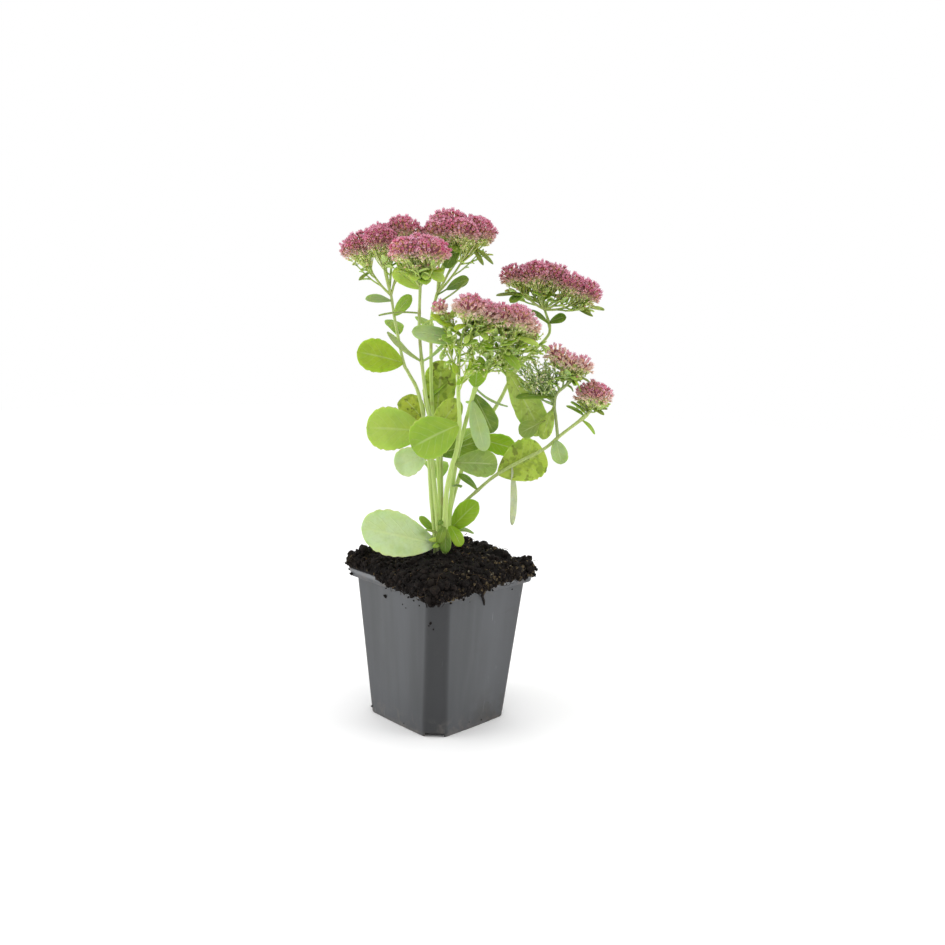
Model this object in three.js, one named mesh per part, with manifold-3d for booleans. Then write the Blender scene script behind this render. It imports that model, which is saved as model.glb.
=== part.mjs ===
// Sedum 'Autumn Joy' in a square nursery pot. Millimetres, +Z up, origin on the
// ground under the middle of the pot, pot sides parallel to X and Y.
// The plant is laid out in its own frame, turned PLANT_TURN about Z from the pot:
// x runs right, y runs away from the front corner of the pot, z runs up.
import * as THREE from "three";
import { mergeVertices } from "three/addons/utils/BufferGeometryUtils.js";
import Module from "manifold-3d";

const wasm = await Module();
wasm.setup();

// ---------------------------------------------------------------- dimensions
const PLANT_TURN = -Math.PI / 4;

const POT_HEIGHT = 96.2;
const RIM_HALF = 45; // half of the 90 mm rim
const RIM_LEG = 6.8; // corner cut of the rim, measured along a side
const BASE_HALF = 34.5;
const BASE_LEG = 9.4;
const TOP_HALF = 42; // wall just under the rim
const TOP_LEG = 8.4;
const WALL = 1;
const FLOOR = 1.4;
const BOW = 0.6; // the walls swell this much at mid-side
const LIP_DROP = 5.2; // height of the turned-down skirt of the rim
const LIP_TAPER = 1; // the skirt draws in this much towards its foot
const SKIRT = 0.8;
const NOTCH_HEIGHT = 2.6; // raised corner edges between the feet
const NOTCH_WIDTH = 12;
const DRAIN_RADIUS = 3.2;
const GAP = 0.3; // clearance between pieces that touch

const HEAP_HALF = 45.9; // the compost lies out over the rim
const HEAP_HEIGHT = 107; // compost level at the crown of the plant
const STEM_FOOT = 86; // stems stand this deep in the compost
const APRON_DEPTH = 4.6; // compost hangs this far down outside the rim in front

const BLADE_EDGE = 0.7; // leaf thickness at its edge
const BLADE_RIB = 1.7; // and over its midrib
const FINEST_EDGE = 0.05; // shapes smaller than this are merged away after a fuse
const FLORET_SPACING = 6.6;
const FLORET_OUT = 3.6; // floret height above the core of its cluster
const FLORET_SUNK = 1.7;
const FLORET_RADIUS = 2.3;

// ------------------------------------------------------------------- colours
const COLOURS = {
  pot_plastic: ["#5b5d62", 0.5],
  peat_soil: ["#1d1613", 0.95],
  foliage: ["#86a843", 0.55],
  blossom: ["#a84f6b", 0.75],
};

// -------------------------------------------------------------- plant layout
// Each stem: foot [x, y] in the compost, route up to its fork, thickness
// (radius at the foot and at the fork).
const STEMS = {
  left: {
    foot: [-4, -0.6],
    route: [
      [-7.5, 0, 141], [-10.5, 2, 172], [-17, 4, 206], [-24, 5, 220],
      [-27.5, 5, 227], [-33, 6, 251], [-36, 6, 268],
    ],
    radius: [1.9, 1],
  },
  front_left: {
    foot: [-1.7, -5.2],
    route: [
      [-4.4, -8, 142], [-8, -10, 174], [-9, -10, 193], [-12, -12, 207],
      [-15, -14, 229], [-17, -15, 250], [-17, -15, 274],
    ],
    radius: [1.9, 1.1],
  },
  top: {
    foot: [-0.7, 4],
    route: [
      [-2.4, 8, 139], [-5, 12, 171], [-9.5, 16, 202], [-11, 18, 234],
      [-11.2, 20, 255], [-8, 21, 270],
    ],
    radius: [1.9, 1.1],
  },
  front: {
    foot: [2, -8.4],
    route: [
      [2, -14, 144], [4, -16, 160], [8, -18, 178], [9, -20, 195],
      [7.8, -22, 211], [7.6, -25, 237], [9, -26, 246],
    ],
    radius: [2.1, 1.2],
  },
  right: {
    foot: [3.3, -2.9],
    route: [
      [5, -5.6, 142], [7.6, -8, 168], [13, -10, 194], [19, -14, 217],
      [26, -16, 227], [34, -19, 240],
    ],
    radius: [1.9, 1.1],
  },
  low_right: {
    foot: [3.9, 1.9],
    route: [
      [6.4, 2, 128], [11, 1, 137], [20.5, 0, 147], [32, -2, 158],
      [47, -4, 168], [62, -6, 177], [72, -6, 186], [85, -6, 197], [88.5, -6.5, 201],
    ],
    radius: [1.05, 1],
  },
  back_right: {
    foot: [2.4, 7.4],
    route: [
      [5.5, 16, 138], [16, 24, 170], [34, 30, 202], [41, 32, 217],
      [52, 30, 232], [62, 28, 243], [64, 25, 250], [60, 24, 262],
    ],
    radius: [1.9, 1],
  },
};

// The side branch of the low right stem: where it leaves, and its route.
const SIDE_BRANCH = [
  [70, -6, 184], [68.6, -5.4, 194], [67, -5, 204], [68, -5, 211], [73.5, -6.5, 217], [77, -7.5, 221],
];

// Leaves: stem, height where they leave it, tip [x, y, z], width, the way the
// upper side faces, arch (how far the middle stands up from the chord).
const LEAVES = [
  ["front", 113, [-48.5, -33, 129], 29, [-0.1, -0.85, 0.5], 1.5],
  ["low_right", 121, [22, -8, 142], 14, [-0.3, -0.95, 0.3], 2],
  ["right", 126, [12.2, -10.5, 114], 8.5, [0.3, -0.85, 0.4], 1.5],
  ["back_right", 118, [20, 19, 116], 7, [0, -0.3, 1], 2],
  ["left", 119, [-15, 2, 129], 6, [-0.3, -0.4, 0.9], 1],
  ["low_right", 148, [9, -1.5, 158], 6, [0, -0.6, 0.8], 1.5],
  ["right", 151, [11, -15, 153], 5, [0.3, -0.5, 0.8], 1],
  ["left", 184, [-49, -4, 186], 27, [0.1, -0.95, 0.25], 2],
  ["left", 190, [-28, 10, 204], 16, [0.2, -0.9, 0.4], 2],
  ["front", 192, [-19, -27, 178], 26, [0, -0.9, 0.4], 2.5],
  ["front_left", 182, [8, -9, 206], 15, [0, -0.95, 0.2], 1.5],
  ["front_left", 174, [-29, -16, 163], 18, [-0.1, -0.9, 0.3], 2],
  ["top", 183, [-4, 27, 227], 21, [0, -0.9, 0.4], 2],
  ["right", 214, [19, -21, 232], 13, [0, -0.95, 0.2], 1.5],
  ["right", 207, [25, -22, 177], 11, [0, -1, 0], 1.5],
  ["right", 211, [30, -3, 186], 13, [0, -1, 0.1], 1.5],
  ["right", 214, [38, -10, 203], 6, [0, 0.2, 1], -2],
  ["right", 235, [61.5, 1, 184], 18, [0.1, -0.97, 0.15], 1.5],
  ["low_right", 159, [63, 7, 173], 27, [0, -0.95, 0.2], 2.5],
  ["back_right", 177, [45, 26, 171], 14, [0, -0.9, 0.3], 1.5],
  ["front", 168, [33, -12, 167], 17, [0, -0.9, 0.3], 2],
  ["top", 168, [21, 13, 177], 15, [0, -0.9, 0.3], 1.5],
  ["low_right", 183, [72, -15, 169], 11, [0.2, -1, 0], 1],
  ["low_right", 165, [43, 3, 126], 6.5, [0.7, -0.7, 0], 2],
  ["left", 226, [-55, -5, 233], 21, [0, -0.95, 0.3], 2],
  ["front_left", 229, [-35, -24, 247], 9, [0.4, 0.4, 0.8], -2],
  ["front_left", 229, [1, -20, 243], 7, [-0.5, 0.3, 0.8], -1.5],
  ["front", 242, [-20, -35, 248], 12, [-0.1, -0.8, 0.5], 1.5],
  ["left", 264, [-51, 0, 265], 7, [0, -0.7, 0.7], 1],
  ["left", 255, [-23, -3, 268], 8, [0.2, -0.9, 0.4], 1],
  ["front_left", 258, [-42, -9, 256], 5, [0, 0.1, 1], 1],
  ["front_left", 272, [-33, -9, 284], 12, [-0.2, -0.8, 0.5], 1],
  ["top", 262, [11, 9, 278], 5, [0, -0.3, 0.9], -1],
  ["top", 268, [11.5, 13, 279], 8.5, [0, -0.8, 0.6], 1],
  ["right", 237, [43, -33, 228], 7, [0.2, -0.6, 0.7], 1.5],
  ["right", 231, [12, -6, 242], 7, [0, -0.7, 0.7], 1],
  ["right", 236, [24, -33, 239], 7, [0, -0.4, 0.9], 1.5],
  ["right", 234, [46, -6, 236], 8, [0, -0.5, 0.8], 1.5],
  ["front", 246, [-9, -35, 258], 7, [-0.2, -0.6, 0.7], 1],
  ["front", 240, [18, -40, 243], 7, [0, -0.6, 0.8], 1],
  ["front_left", 249, [-6, -27, 256], 5, [0, -0.4, 0.9], 1],
  ["back_right", 252, [51, 14, 261], 4.5, [0, -0.8, 0.6], 1],
  ["back_right", 253, [74, 22, 257], 8, [0, -0.7, 0.7], 1],
  ["low_right", 196, [93, -4, 187], 4, [0, -0.5, 0.8], 1],
  ["low_right", 199, [76, -13, 207], 5, [0, -0.5, 0.8], 1],
  ["low_right", 198, [75, 1, 203], 4, [0, -0.4, 0.9], 1],
  // the far side of the plant
  ["top", 152, [-8, 33, 160], 16, [0, 0.3, 0.9], 2],
  ["top", 205, [2, 42, 217], 19, [0, 0.3, 0.9], 2.5],
  ["back_right", 160, [27, 43, 167], 17, [0.2, 0.3, 0.9], 2],
  ["back_right", 191, [15, 45, 198], 17, [-0.2, 0.3, 0.9], 2],
  ["back_right", 220, [38, 49, 231], 15, [0, 0.3, 0.9], 2],
  ["right", 180, [25, 6, 186], 15, [0.2, 0.2, 0.9], 1.5],
  ["left", 243, [-37, 22, 251], 12, [0, 0.3, 0.9], 1],
  ["top", 245, [-20, 34, 253], 12, [0, 0.3, 0.9], 1],
];

// Leaves on the side branch: [height on the branch, tip, width, facing, arch].
const SIDE_LEAVES = [
  [198, [45.5, -14, 187], 11, [0, -0.95, 0.2], 1.5],
  [205, [60, -12, 184], 9, [-0.3, -1, 0], 1],
  [209, [43, -19, 210], 6.5, [0, -0.6, 0.8], 1],
  [217, [78, -5, 213], 4, [0, -0.4, 0.9], 1],
  [214, [62, -14, 219], 6, [0, -0.5, 0.8], 1],
];

// Flower clusters of each head: [x, y, z, radius]. "feeds" names the stem that
// carries each cluster; one head can be shared by two stems.
const HEADS = {
  left: {
    feeds: ["left", "left", "left", "left"],
    clusters: [[-54, 2, 294, 12.5], [-42, -6, 298, 11], [-42, 8, 301, 11], [-29.5, 11, 305, 12]],
  },
  front_left: {
    feeds: ["front_left", "front_left", "front_left"],
    clusters: [[-25, -22, 292.5, 10.5], [-11, -24, 293, 11.5], [-17, -14, 296, 9.5]],
  },
  top: {
    feeds: ["top", "top", "top", "top"],
    clusters: [[-2, 27, 310, 13.5], [14.5, 24, 306.5, 13], [-7, 14, 305, 11], [6.5, 12.5, 305.5, 11]],
  },
  front: {
    feeds: ["front", "front", "front", "right", "right", "right", "right"],
    clusters: [
      [12.6, -34, 261.5, 10], [22, -30, 258.5, 9.5], [15, -23, 260.5, 9],
      [31.5, -28, 257, 9.5], [41.5, -25.5, 255.3, 10], [48, -22, 251.8, 8], [41, -14, 256, 9.5],
    ],
  },
  front_side: { feeds: ["front"], clusters: [[-4, -29, 260.5, 5.6]] },
  back_right: {
    feeds: ["back_right", "back_right", "back_right", "back_right", "back_right", "back_right"],
    clusters: [
      [40, 20, 280.5, 9], [52.5, 18, 281.2, 11], [64.5, 22, 280, 11],
      [75, 17, 276, 9.5], [84.5, 20, 272, 10.5], [58, 32, 282.5, 10],
    ],
  },
  side_right: {
    feeds: [null, null, "side", "side"],
    clusters: [[66, -8, 235.5, 6.5], [70, -10, 232.5, 6.5], [75, -10, 229.5, 7.5], [82, -8, 228, 7.5]],
  },
  low_right: {
    feeds: ["low_right", "low_right"],
    clusters: [[91, -8, 210.5, 10.5], [86, -4, 209.5, 7]],
  },
};

// Small bracts under the clusters: [head, cluster, tip, width].
const BRACTS = [
  ["left", 0, [-55, -1, 276], 3],
  ["left", 3, [-22, 14, 291], 5],
  ["top", 1, [19, 20, 285], 3.4],
  ["top", 1, [25, 20, 286], 3.4],
  ["top", 0, [-16, 33, 294], 5],
  ["top", 3, [3, 3, 295], 6],
  ["top", 3, [-4, 10, 283], 9.5],
  ["front_left", 1, [-3, -27, 283], 5],
  ["front_left", 1, [-13, -26, 278], 5.5],
  ["front_left", 0, [-23, -24, 279], 5],
  ["back_right", 0, [29, 14, 269], 4],
  ["back_right", 0, [38, 16, 265], 6.5],
  ["back_right", 4, [90, 18, 258], 3.4],
  ["back_right", 4, [88, 12, 261], 3.4],
  ["back_right", 5, [58, 43, 270], 5],
  ["back_right", 2, [74, 28, 268], 5],
  ["front", 1, [24, -36, 245], 5],
  ["front", 4, [54, -31, 242], 5],
  ["front", 6, [48, -5, 246], 5],
  ["front", 0, [5, -40, 250], 5],
  ["low_right", 0, [97, -12, 200], 3.4],
  ["side_right", 3, [88, -4, 219], 3],
];

// ------------------------------------------------------------------- helpers
const v3 = (p) => new THREE.Vector3(p[0], p[1], p[2]);
const UP = new THREE.Vector3(0, 0, 1);

// An even draw in 0..1 for the whole number k.
function draw(k) {
  const s = Math.sin(k * 12.9898 + 4.1) * 43758.5453;
  return s - Math.floor(s);
}

function geometryFrom(points, faces) {
  const geometry = new THREE.BufferGeometry();
  const flat = points.flatMap((p) => [p.x, p.y, p.z]);
  geometry.setAttribute("position", new THREE.Float32BufferAttribute(flat, 3));
  geometry.setIndex(faces.flat());
  return geometry;
}

// A closed skin over rings of equal length, closed at both ends by a fan.
function loft(rings, startPoint, endPoint) {
  const n = rings[0].length;
  const middle = (ring) => ring.reduce((sum, p) => sum.add(p), new THREE.Vector3()).divideScalar(n);
  const points = rings.flat();
  const faces = [];
  for (let j = 0; j < rings.length - 1; j++) {
    for (let i = 0; i < n; i++) {
      const a = j * n + i;
      const b = j * n + ((i + 1) % n);
      faces.push([a, b, b + n], [a, b + n, a + n]);
    }
  }
  const start = points.push(startPoint ?? middle(rings[0])) - 1;
  const end = points.push(endPoint ?? middle(rings.at(-1))) - 1;
  const last = (rings.length - 1) * n;
  for (let i = 0; i < n; i++) {
    const next = (i + 1) % n;
    faces.push([start, next, i], [end, last + i, last + next]);
  }
  return geometryFrom(points, faces);
}

function solid(geometry) {
  const bare = geometry.clone();
  bare.deleteAttribute("normal");
  bare.deleteAttribute("uv");
  const merged = mergeVertices(bare, 1e-4);
  const mesh = new wasm.Mesh({
    numProp: 3,
    vertProperties: new Float32Array(merged.attributes.position.array),
    triVerts: new Uint32Array(merged.index.array),
  });
  return new wasm.Manifold(mesh);
}

function fuse(geometries) {
  let pieces = geometries.map(solid);
  while (pieces.length > 1) {
    const pairs = [];
    for (let i = 0; i < pieces.length; i += 2) {
      pairs.push(i + 1 < pieces.length ? pieces[i].add(pieces[i + 1]) : pieces[i]);
    }
    pieces = pairs;
  }
  return pieces[0].asOriginal().simplify(FINEST_EDGE);
}

function cut(body, tools) {
  return tools.reduce((rest, tool) => rest.subtract(solid(tool)), body);
}

function asGeometry(body) {
  const mesh = body.getMesh();
  const geometry = new THREE.BufferGeometry();
  geometry.setAttribute("position", new THREE.BufferAttribute(mesh.vertProperties, 3));
  geometry.setIndex(new THREE.BufferAttribute(mesh.triVerts, 1));
  return geometry;
}

function piece(name, body, slot) {
  const [color, roughness] = COLOURS[slot];
  const material = new THREE.MeshStandardMaterial({ color, roughness, metalness: 0 });
  material.name = slot;
  const mesh = new THREE.Mesh(asGeometry(body), material);
  mesh.name = name;
  return mesh;
}

// ----------------------------------------------------------------------- pot
// Outline of the pot at one level: a square with cut corners. Every long side
// has (parts - 1) points between its ends and every corner cut has (cuts - 1).
function outline(half, leg, z, bow, parts, cuts) {
  const points = [];
  for (let side = 0; side < 4; side++) {
    const turn = (side * Math.PI) / 2;
    const put = (x, y) => points.push(new THREE.Vector3(x, y, z).applyAxisAngle(UP, turn));
    for (let i = 0; i < parts; i++) {
      const t = i / parts;
      put(half + bow * 4 * t * (1 - t), (half - leg) * (2 * t - 1));
    }
    for (let i = 0; i < cuts; i++) {
      const t = i / cuts;
      put(half - leg * t, half - leg * (1 - t));
    }
  }
  return points;
}

const inset = (leg, thickness) => leg - thickness * (2 - Math.SQRT2);

function makePot() {
  const ring = (half, leg, z, bow) => outline(half, leg, z, bow, 2, 1);
  const top = POT_HEIGHT;
  const skirtFoot = top - LIP_DROP;
  const rings = [
    ring(BASE_HALF, BASE_LEG, 0, BOW),
    ring(TOP_HALF, TOP_LEG, top - SKIRT, BOW),
    ring(RIM_HALF - 1.1, RIM_LEG + 0.3, top - SKIRT, 0),
    ring(RIM_HALF - LIP_TAPER - SKIRT, RIM_LEG + 0.3, skirtFoot, 0),
    ring(RIM_HALF - LIP_TAPER, RIM_LEG + 0.3, skirtFoot, 0),
    ring(RIM_HALF, RIM_LEG, top - 0.7, 0),
    ring(RIM_HALF - 0.6, RIM_LEG, top, 0),
    ring(TOP_HALF - WALL, inset(TOP_LEG, WALL), top, BOW),
    ring(BASE_HALF + 0.1 - WALL, inset(BASE_LEG, WALL), FLOOR, BOW),
  ];
  const cup = solid(loft(rings));
  const tools = [];
  const cornerReach = (2 * BASE_HALF - BASE_LEG) / Math.SQRT2;
  for (let corner = 0; corner < 4; corner++) {
    const notch = new THREE.BoxGeometry(9, NOTCH_WIDTH, 2 * NOTCH_HEIGHT);
    notch.translate(cornerReach, 0, 0);
    notch.rotateZ(Math.PI / 4 + (corner * Math.PI) / 2);
    tools.push(notch);
  }
  for (let k = 0; k < 8; k++) {
    const drain = new THREE.CylinderGeometry(DRAIN_RADIUS, DRAIN_RADIUS, 4 * FLOOR, 8);
    drain.rotateX(Math.PI / 2);
    const reach = k % 2 ? 25 : 18;
    drain.translate(reach * Math.cos((k * Math.PI) / 4), reach * Math.sin((k * Math.PI) / 4), 0);
    tools.push(drain);
  }
  return cut(cup, tools);
}

// ------------------------------------------------------------------- compost
function heapRing(half, leg, z, rough, seed) {
  const points = outline(half, leg, z, 0, 4, 2);
  return points.map((p, i) => {
    const wide = 1 + (rough * (draw(seed + i) - 0.4)) / half;
    return new THREE.Vector3(p.x * wide, p.y * wide, z + rough * (draw(seed + 40 + i) - 0.35));
  });
}

function makeSoil(stems) {
  const insideTop = TOP_HALF - WALL - GAP;
  const bottom = FLOOR + GAP;
  const rest = POT_HEIGHT + GAP;
  const floorHalf = BASE_HALF + 0.1 - WALL - GAP;
  const rings = [
    outline(floorHalf, inset(BASE_LEG, WALL + GAP), bottom, 0, 4, 2),
    outline(insideTop, inset(TOP_LEG, WALL + GAP), rest, 0, 4, 2),
    outline(HEAP_HALF - 0.6, RIM_LEG + 0.8, rest, 0, 4, 2),
    heapRing(HEAP_HALF + 0.6, RIM_LEG + 1, 98.4, 1.6, 300),
    heapRing(HEAP_HALF - 3, RIM_LEG + 2, 102.6, 3, 400),
    heapRing(HEAP_HALF - 11, RIM_LEG + 3, 105.2, 3, 500),
    heapRing(HEAP_HALF - 24, RIM_LEG, 106.2, 2.4, 600),
    heapRing(11, 3.4, HEAP_HEIGHT - 0.4, 1, 700),
  ];
  const lumps = [loft(rings, null, new THREE.Vector3(0, 0, HEAP_HEIGHT))];
  for (let k = 0; k < 16; k++) {
    const angle = 2.4 * k;
    const reach = 17 + 25 * Math.sqrt(draw(k + 50));
    const size = 2 + 2.2 * draw(k + 90);
    const square = 1 / Math.max(Math.abs(Math.cos(angle)), Math.abs(Math.sin(angle)));
    const out = Math.min(reach * square, 52);
    const level = 106.5 - 0.16 * (reach - 17) + draw(k + 130);
    lumps.push(clod(out * Math.cos(angle), out * Math.sin(angle), level, size, k));
  }
  lumps.push(apron());
  // the front corner, where more of it clings
  const front = (x, y, z, size, k) => {
    const p = new THREE.Vector3(x, y, z).applyAxisAngle(UP, PLANT_TURN);
    return clod(p.x, p.y, p.z, size, k);
  };
  lumps.push(front(-1.5, -59.6, 99.8, 3.5, 31));
  lumps.push(front(-5.6, -61, 94, 2.4, 32));
  lumps.push(front(3, -61.2, 95.6, 2.3, 33));
  const holes = stems.map((stem) => {
    const [x, y] = stem.foot;
    const p = new THREE.Vector3(x, y, 0).applyAxisAngle(UP, PLANT_TURN);
    const radius = (stem.radius[0] + GAP) / Math.cos(Math.PI / 8);
    const hole = new THREE.CylinderGeometry(radius, radius, 60, 8);
    hole.rotateX(Math.PI / 2);
    hole.translate(p.x, p.y, STEM_FOOT - GAP + 30);
    return hole;
  });
  return cut(fuse(lumps), holes);
}

// The compost that hangs over the rim in front: a ragged strip along the two
// front sides and round the corner between them, outside the rim all the way
// down and buried in the heap at its top.
function apron() {
  const inner = RIM_HALF + GAP;
  const leg = inset(RIM_LEG, -GAP);
  const turn = (x, y) => new THREE.Vector2(x, y);
  // from a third of the way along the left front side to the end of the right one
  const corners = [
    turn(-inner, inner - 62), turn(-inner, leg - inner), turn(leg - inner, -inner), turn(inner - leg, -inner),
  ];
  const outward = [turn(-1, 0), turn(-0.92, -0.38), turn(-0.38, -0.92), turn(0, -1)];
  const rows = [];
  const parts = [5, 1, 9];
  for (let k = 0; k < 3; k++) {
    for (let i = 0; i < parts[k] + (k === 2 ? 1 : 0); i++) {
      const t = i / parts[k];
      const at = corners[k].clone().lerp(corners[k + 1], t);
      const out = outward[k].clone().lerp(outward[k + 1], t).normalize();
      const seed = 800 + 3 * rows.length;
      const end = (k === 0 && i === 0) || (k === 2 && i === parts[2]) ? 0.4 : 1;
      const foot = POT_HEIGHT - APRON_DEPTH * end * (0.6 + 0.6 * draw(seed));
      const thick = 0.9 + 1.3 * draw(seed + 1);
      const point = (away, z) => new THREE.Vector3(at.x + out.x * away, at.y + out.y * away, z);
      rows.push([
        point(0, POT_HEIGHT + GAP / 2), point(-1.2, POT_HEIGHT + 1.9), point(0.9, POT_HEIGHT + 1.9),
        point(thick, 0.5 * (foot + POT_HEIGHT)), point(0.6, foot - 0.3), point(0, foot),
      ]);
    }
  }
  return loft(rows);
}

function clod(x, y, z, size, seed) {
  const lump = new THREE.IcosahedronGeometry(size, 0);
  lump.scale(1, 0.8 + 0.3 * draw(seed + 170), 0.7);
  lump.rotateX(draw(seed + 200) * 3);
  lump.rotateZ(draw(seed + 230) * 3);
  lump.translate(x, y, z);
  return lump;
}

// --------------------------------------------------------------------- stems
// A round stalk of the given sides along a curve, thinning from r0 to r1.
function stalk(curve, steps, sides, r0, r1) {
  const line = curve.getSpacedPoints(steps);
  const frames = curve.computeFrenetFrames(steps, false);
  const rings = line.map((centre, j) => {
    const radius = r0 + ((r1 - r0) * j) / steps;
    const ring = [];
    for (let i = 0; i < sides; i++) {
      const angle = (2 * Math.PI * i) / sides;
      const point = centre.clone();
      point.addScaledVector(frames.normals[j], radius * Math.cos(angle));
      point.addScaledVector(frames.binormals[j], radius * Math.sin(angle));
      ring.push(point);
    }
    return ring;
  });
  return loft(rings);
}

function stemCurve(stem) {
  const [x, y] = stem.foot;
  const low = [STEM_FOOT, 100, 112].map((z) => new THREE.Vector3(x, y, z));
  return new THREE.CatmullRomCurve3([...low, ...stem.route.map(v3)]);
}

// The point of a stalk's centre line at height z.
function pointAtHeight(line, z) {
  const j = Math.max(1, line.findIndex((p) => p.z >= z));
  const [low, high] = [line[j - 1], line[j]];
  return low.clone().lerp(high, (z - low.z) / (high.z - low.z));
}

// -------------------------------------------------------------------- leaves
// A fleshy blade from root to tip: its half-width goes as s^0.8 (1 - s)^0.45,
// broadest past the middle and blunt at the tip. It has shallow teeth and a
// raised midrib, and is cupped along its length. Both faces are split into the
// same triangles.
function blade(root, tip, width, facing, arch) {
  const along = tip.clone().sub(root);
  const tangent = along.clone().normalize();
  const normal = facing.clone().addScaledVector(tangent, -facing.dot(tangent)).normalize();
  const side = new THREE.Vector3().crossVectors(normal, tangent);
  const stations = width > 20 ? 8 : width > 12 ? 5 : width > 8 ? 4 : 3;
  const slender = width <= 7;
  const toothed = slender ? 0 : 0.045;
  const rowOf = (s, half) => {
    const centre = root.clone().addScaledVector(along, s);
    centre.addScaledVector(normal, arch * Math.sin(Math.PI * s));
    const cup = 0.12 * half;
    const rib = (BLADE_RIB / 2) * (1 - 0.3 * s);
    const edge = BLADE_EDGE / 2;
    const at = (across, high) => centre.clone().addScaledVector(side, across).addScaledVector(normal, high);
    if (slender) {
      return [at(half, 0), at(0, rib), at(-half, 0), at(0, -rib)];
    }
    const [high, low] = [cup + edge, cup - edge];
    return [at(half, high), at(0, rib), at(-half, high), at(-half, low), at(0, -rib), at(half, low)];
  };
  const broadest = 0.442; // the highest value of the product below, at s = 0.64
  const halfAt = (s) => Math.max(0.9, ((width / 2) * Math.pow(s, 0.8) * Math.pow(1 - s, 0.45)) / broadest);
  const rows = [];
  for (let j = 0; j <= stations; j++) {
    const s = 0.02 + 0.975 * Math.pow(j / stations, 0.9);
    const tooth = 1 + toothed * (j % 2 ? 1 : -1);
    rows.push(rowOf(s, halfAt(s) * (j > 0 && j < stations ? tooth : 1)));
  }
  if (slender) {
    return loft(rows);
  }
  const points = rows.flat();
  const faces = [];
  for (let j = 0; j < stations; j++) {
    for (let i = 0; i < 6; i++) {
      const a = j * 6 + i;
      const b = j * 6 + ((i + 1) % 6);
      if (i < 3 || i === 5) {
        faces.push([a, b, b + 6], [a, b + 6, a + 6]);
      } else {
        faces.push([a, b, a + 6], [b, b + 6, a + 6]);
      }
    }
  }
  const last = stations * 6;
  for (const [p, q, r] of [[0, 1, 5], [1, 4, 5], [1, 2, 4], [2, 3, 4]]) {
    faces.push([r, q, p], [last + p, last + q, last + r]);
  }
  return geometryFrom(points, faces);
}

// ------------------------------------------------------------------- flowers
// A cluster is a low dome: its centre, its axis leaning out from the stem, the
// half-width and the heights of its core above and below the middle.
function clusterOf([x, y, z, radius], fork) {
  const centre = new THREE.Vector3(x, y, z);
  const lean = centre.clone().sub(fork).normalize();
  const axis = lean.multiplyScalar(0.5).add(UP.clone().multiplyScalar(0.8)).normalize();
  const turn = new THREE.Quaternion().setFromUnitVectors(UP, axis);
  return { centre, axis, turn, radius, wide: radius - 2.6, high: 0.72 * radius - 1, low: 0.5 * radius };
}

// How deep a point lies in a cluster grown by "margin": below 1 is inside.
function depth(cluster, point, margin) {
  const p = point.clone().sub(cluster.centre).applyQuaternion(cluster.turn.clone().invert());
  const tall = (p.z > 0 ? cluster.high : cluster.low) + margin;
  const wide = cluster.wide + margin;
  return (p.x * p.x + p.y * p.y) / (wide * wide) + (p.z * p.z) / (tall * tall);
}

function core(cluster) {
  const { wide, high, low } = cluster;
  const profile = [
    [0, -low], [0.75 * wide, -0.66 * low], [wide, 0], [0.8 * wide, 0.6 * high], [0, high],
  ];
  const dome = new THREE.LatheGeometry(profile.map(([r, h]) => new THREE.Vector2(r, h)), 8);
  dome.rotateX(Math.PI / 2);
  return place(dome, cluster.turn, cluster.centre);
}

function place(geometry, turn, at) {
  geometry.applyQuaternion(turn);
  geometry.translate(at.x, at.y, at.z);
  return geometry;
}

// Where florets stand on a cluster: points of a spiral over the upper side.
function floretSpots(cluster, others) {
  const spots = [];
  const share = 0.62;
  const count = Math.round((5.2 * cluster.wide * cluster.wide * share) / FLORET_SPACING ** 2) + 3;
  for (let k = 0; k < count; k++) {
    const height = 1 - (k + 0.5) * (1.04 / count);
    const ring = Math.sqrt(Math.max(0, 1 - height * height));
    const angle = 2.39996 * k + cluster.radius;
    const local = new THREE.Vector3(ring * Math.cos(angle), ring * Math.sin(angle), height);
    const root = new THREE.Vector3(local.x * cluster.wide, local.y * cluster.wide, local.z * cluster.high);
    root.applyQuaternion(cluster.turn).add(cluster.centre);
    const out = local.clone().multiply(new THREE.Vector3(0.75, 0.75, 1)).add(new THREE.Vector3(0, 0, 0.25));
    out.normalize().applyQuaternion(cluster.turn);
    const tip = root.clone().addScaledVector(out, FLORET_OUT);
    if (others.every((other) => depth(other, tip, 0.5) > 1)) {
      spots.push({ root, out });
    }
  }
  return spots;
}

function floret({ root, out }) {
  const profile = [[0, -FLORET_SUNK], [FLORET_RADIUS, 0.55 * FLORET_OUT], [0, FLORET_OUT]];
  const bud = new THREE.LatheGeometry(profile.map(([r, h]) => new THREE.Vector2(r, h)), 4);
  bud.rotateX(Math.PI / 2);
  return place(bud, new THREE.Quaternion().setFromUnitVectors(UP, out), root);
}

function makeHead(clusters) {
  const parts = [];
  clusters.forEach((cluster, i) => {
    const others = clusters.filter((_, j) => j !== i);
    parts.push(core(cluster));
    parts.push(...floretSpots(cluster, others).map(floret));
  });
  return fuse(parts);
}

// The branch that carries a cluster, from the fork to the middle of its
// underside.
function branchTo(cluster, fork) {
  const below = (distance) => cluster.centre.clone().addScaledVector(cluster.axis, -distance);
  const foot = fork.clone().lerp(cluster.centre, -0.03);
  const hub = below(cluster.low + 6);
  const bend = fork.clone().lerp(hub, 0.6).addScaledVector(UP, -0.1 * fork.distanceTo(hub));
  return new THREE.QuadraticBezierCurve3(foot, bend, below(cluster.low + GAP + 0.1));
}

// A point of the upper part of a branch; 0 and 1 are the ends of that part.
function upperPoint(branch, t) {
  const line = branch.getSpacedPoints(3);
  return line[2].clone().lerp(line[3], t);
}

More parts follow.
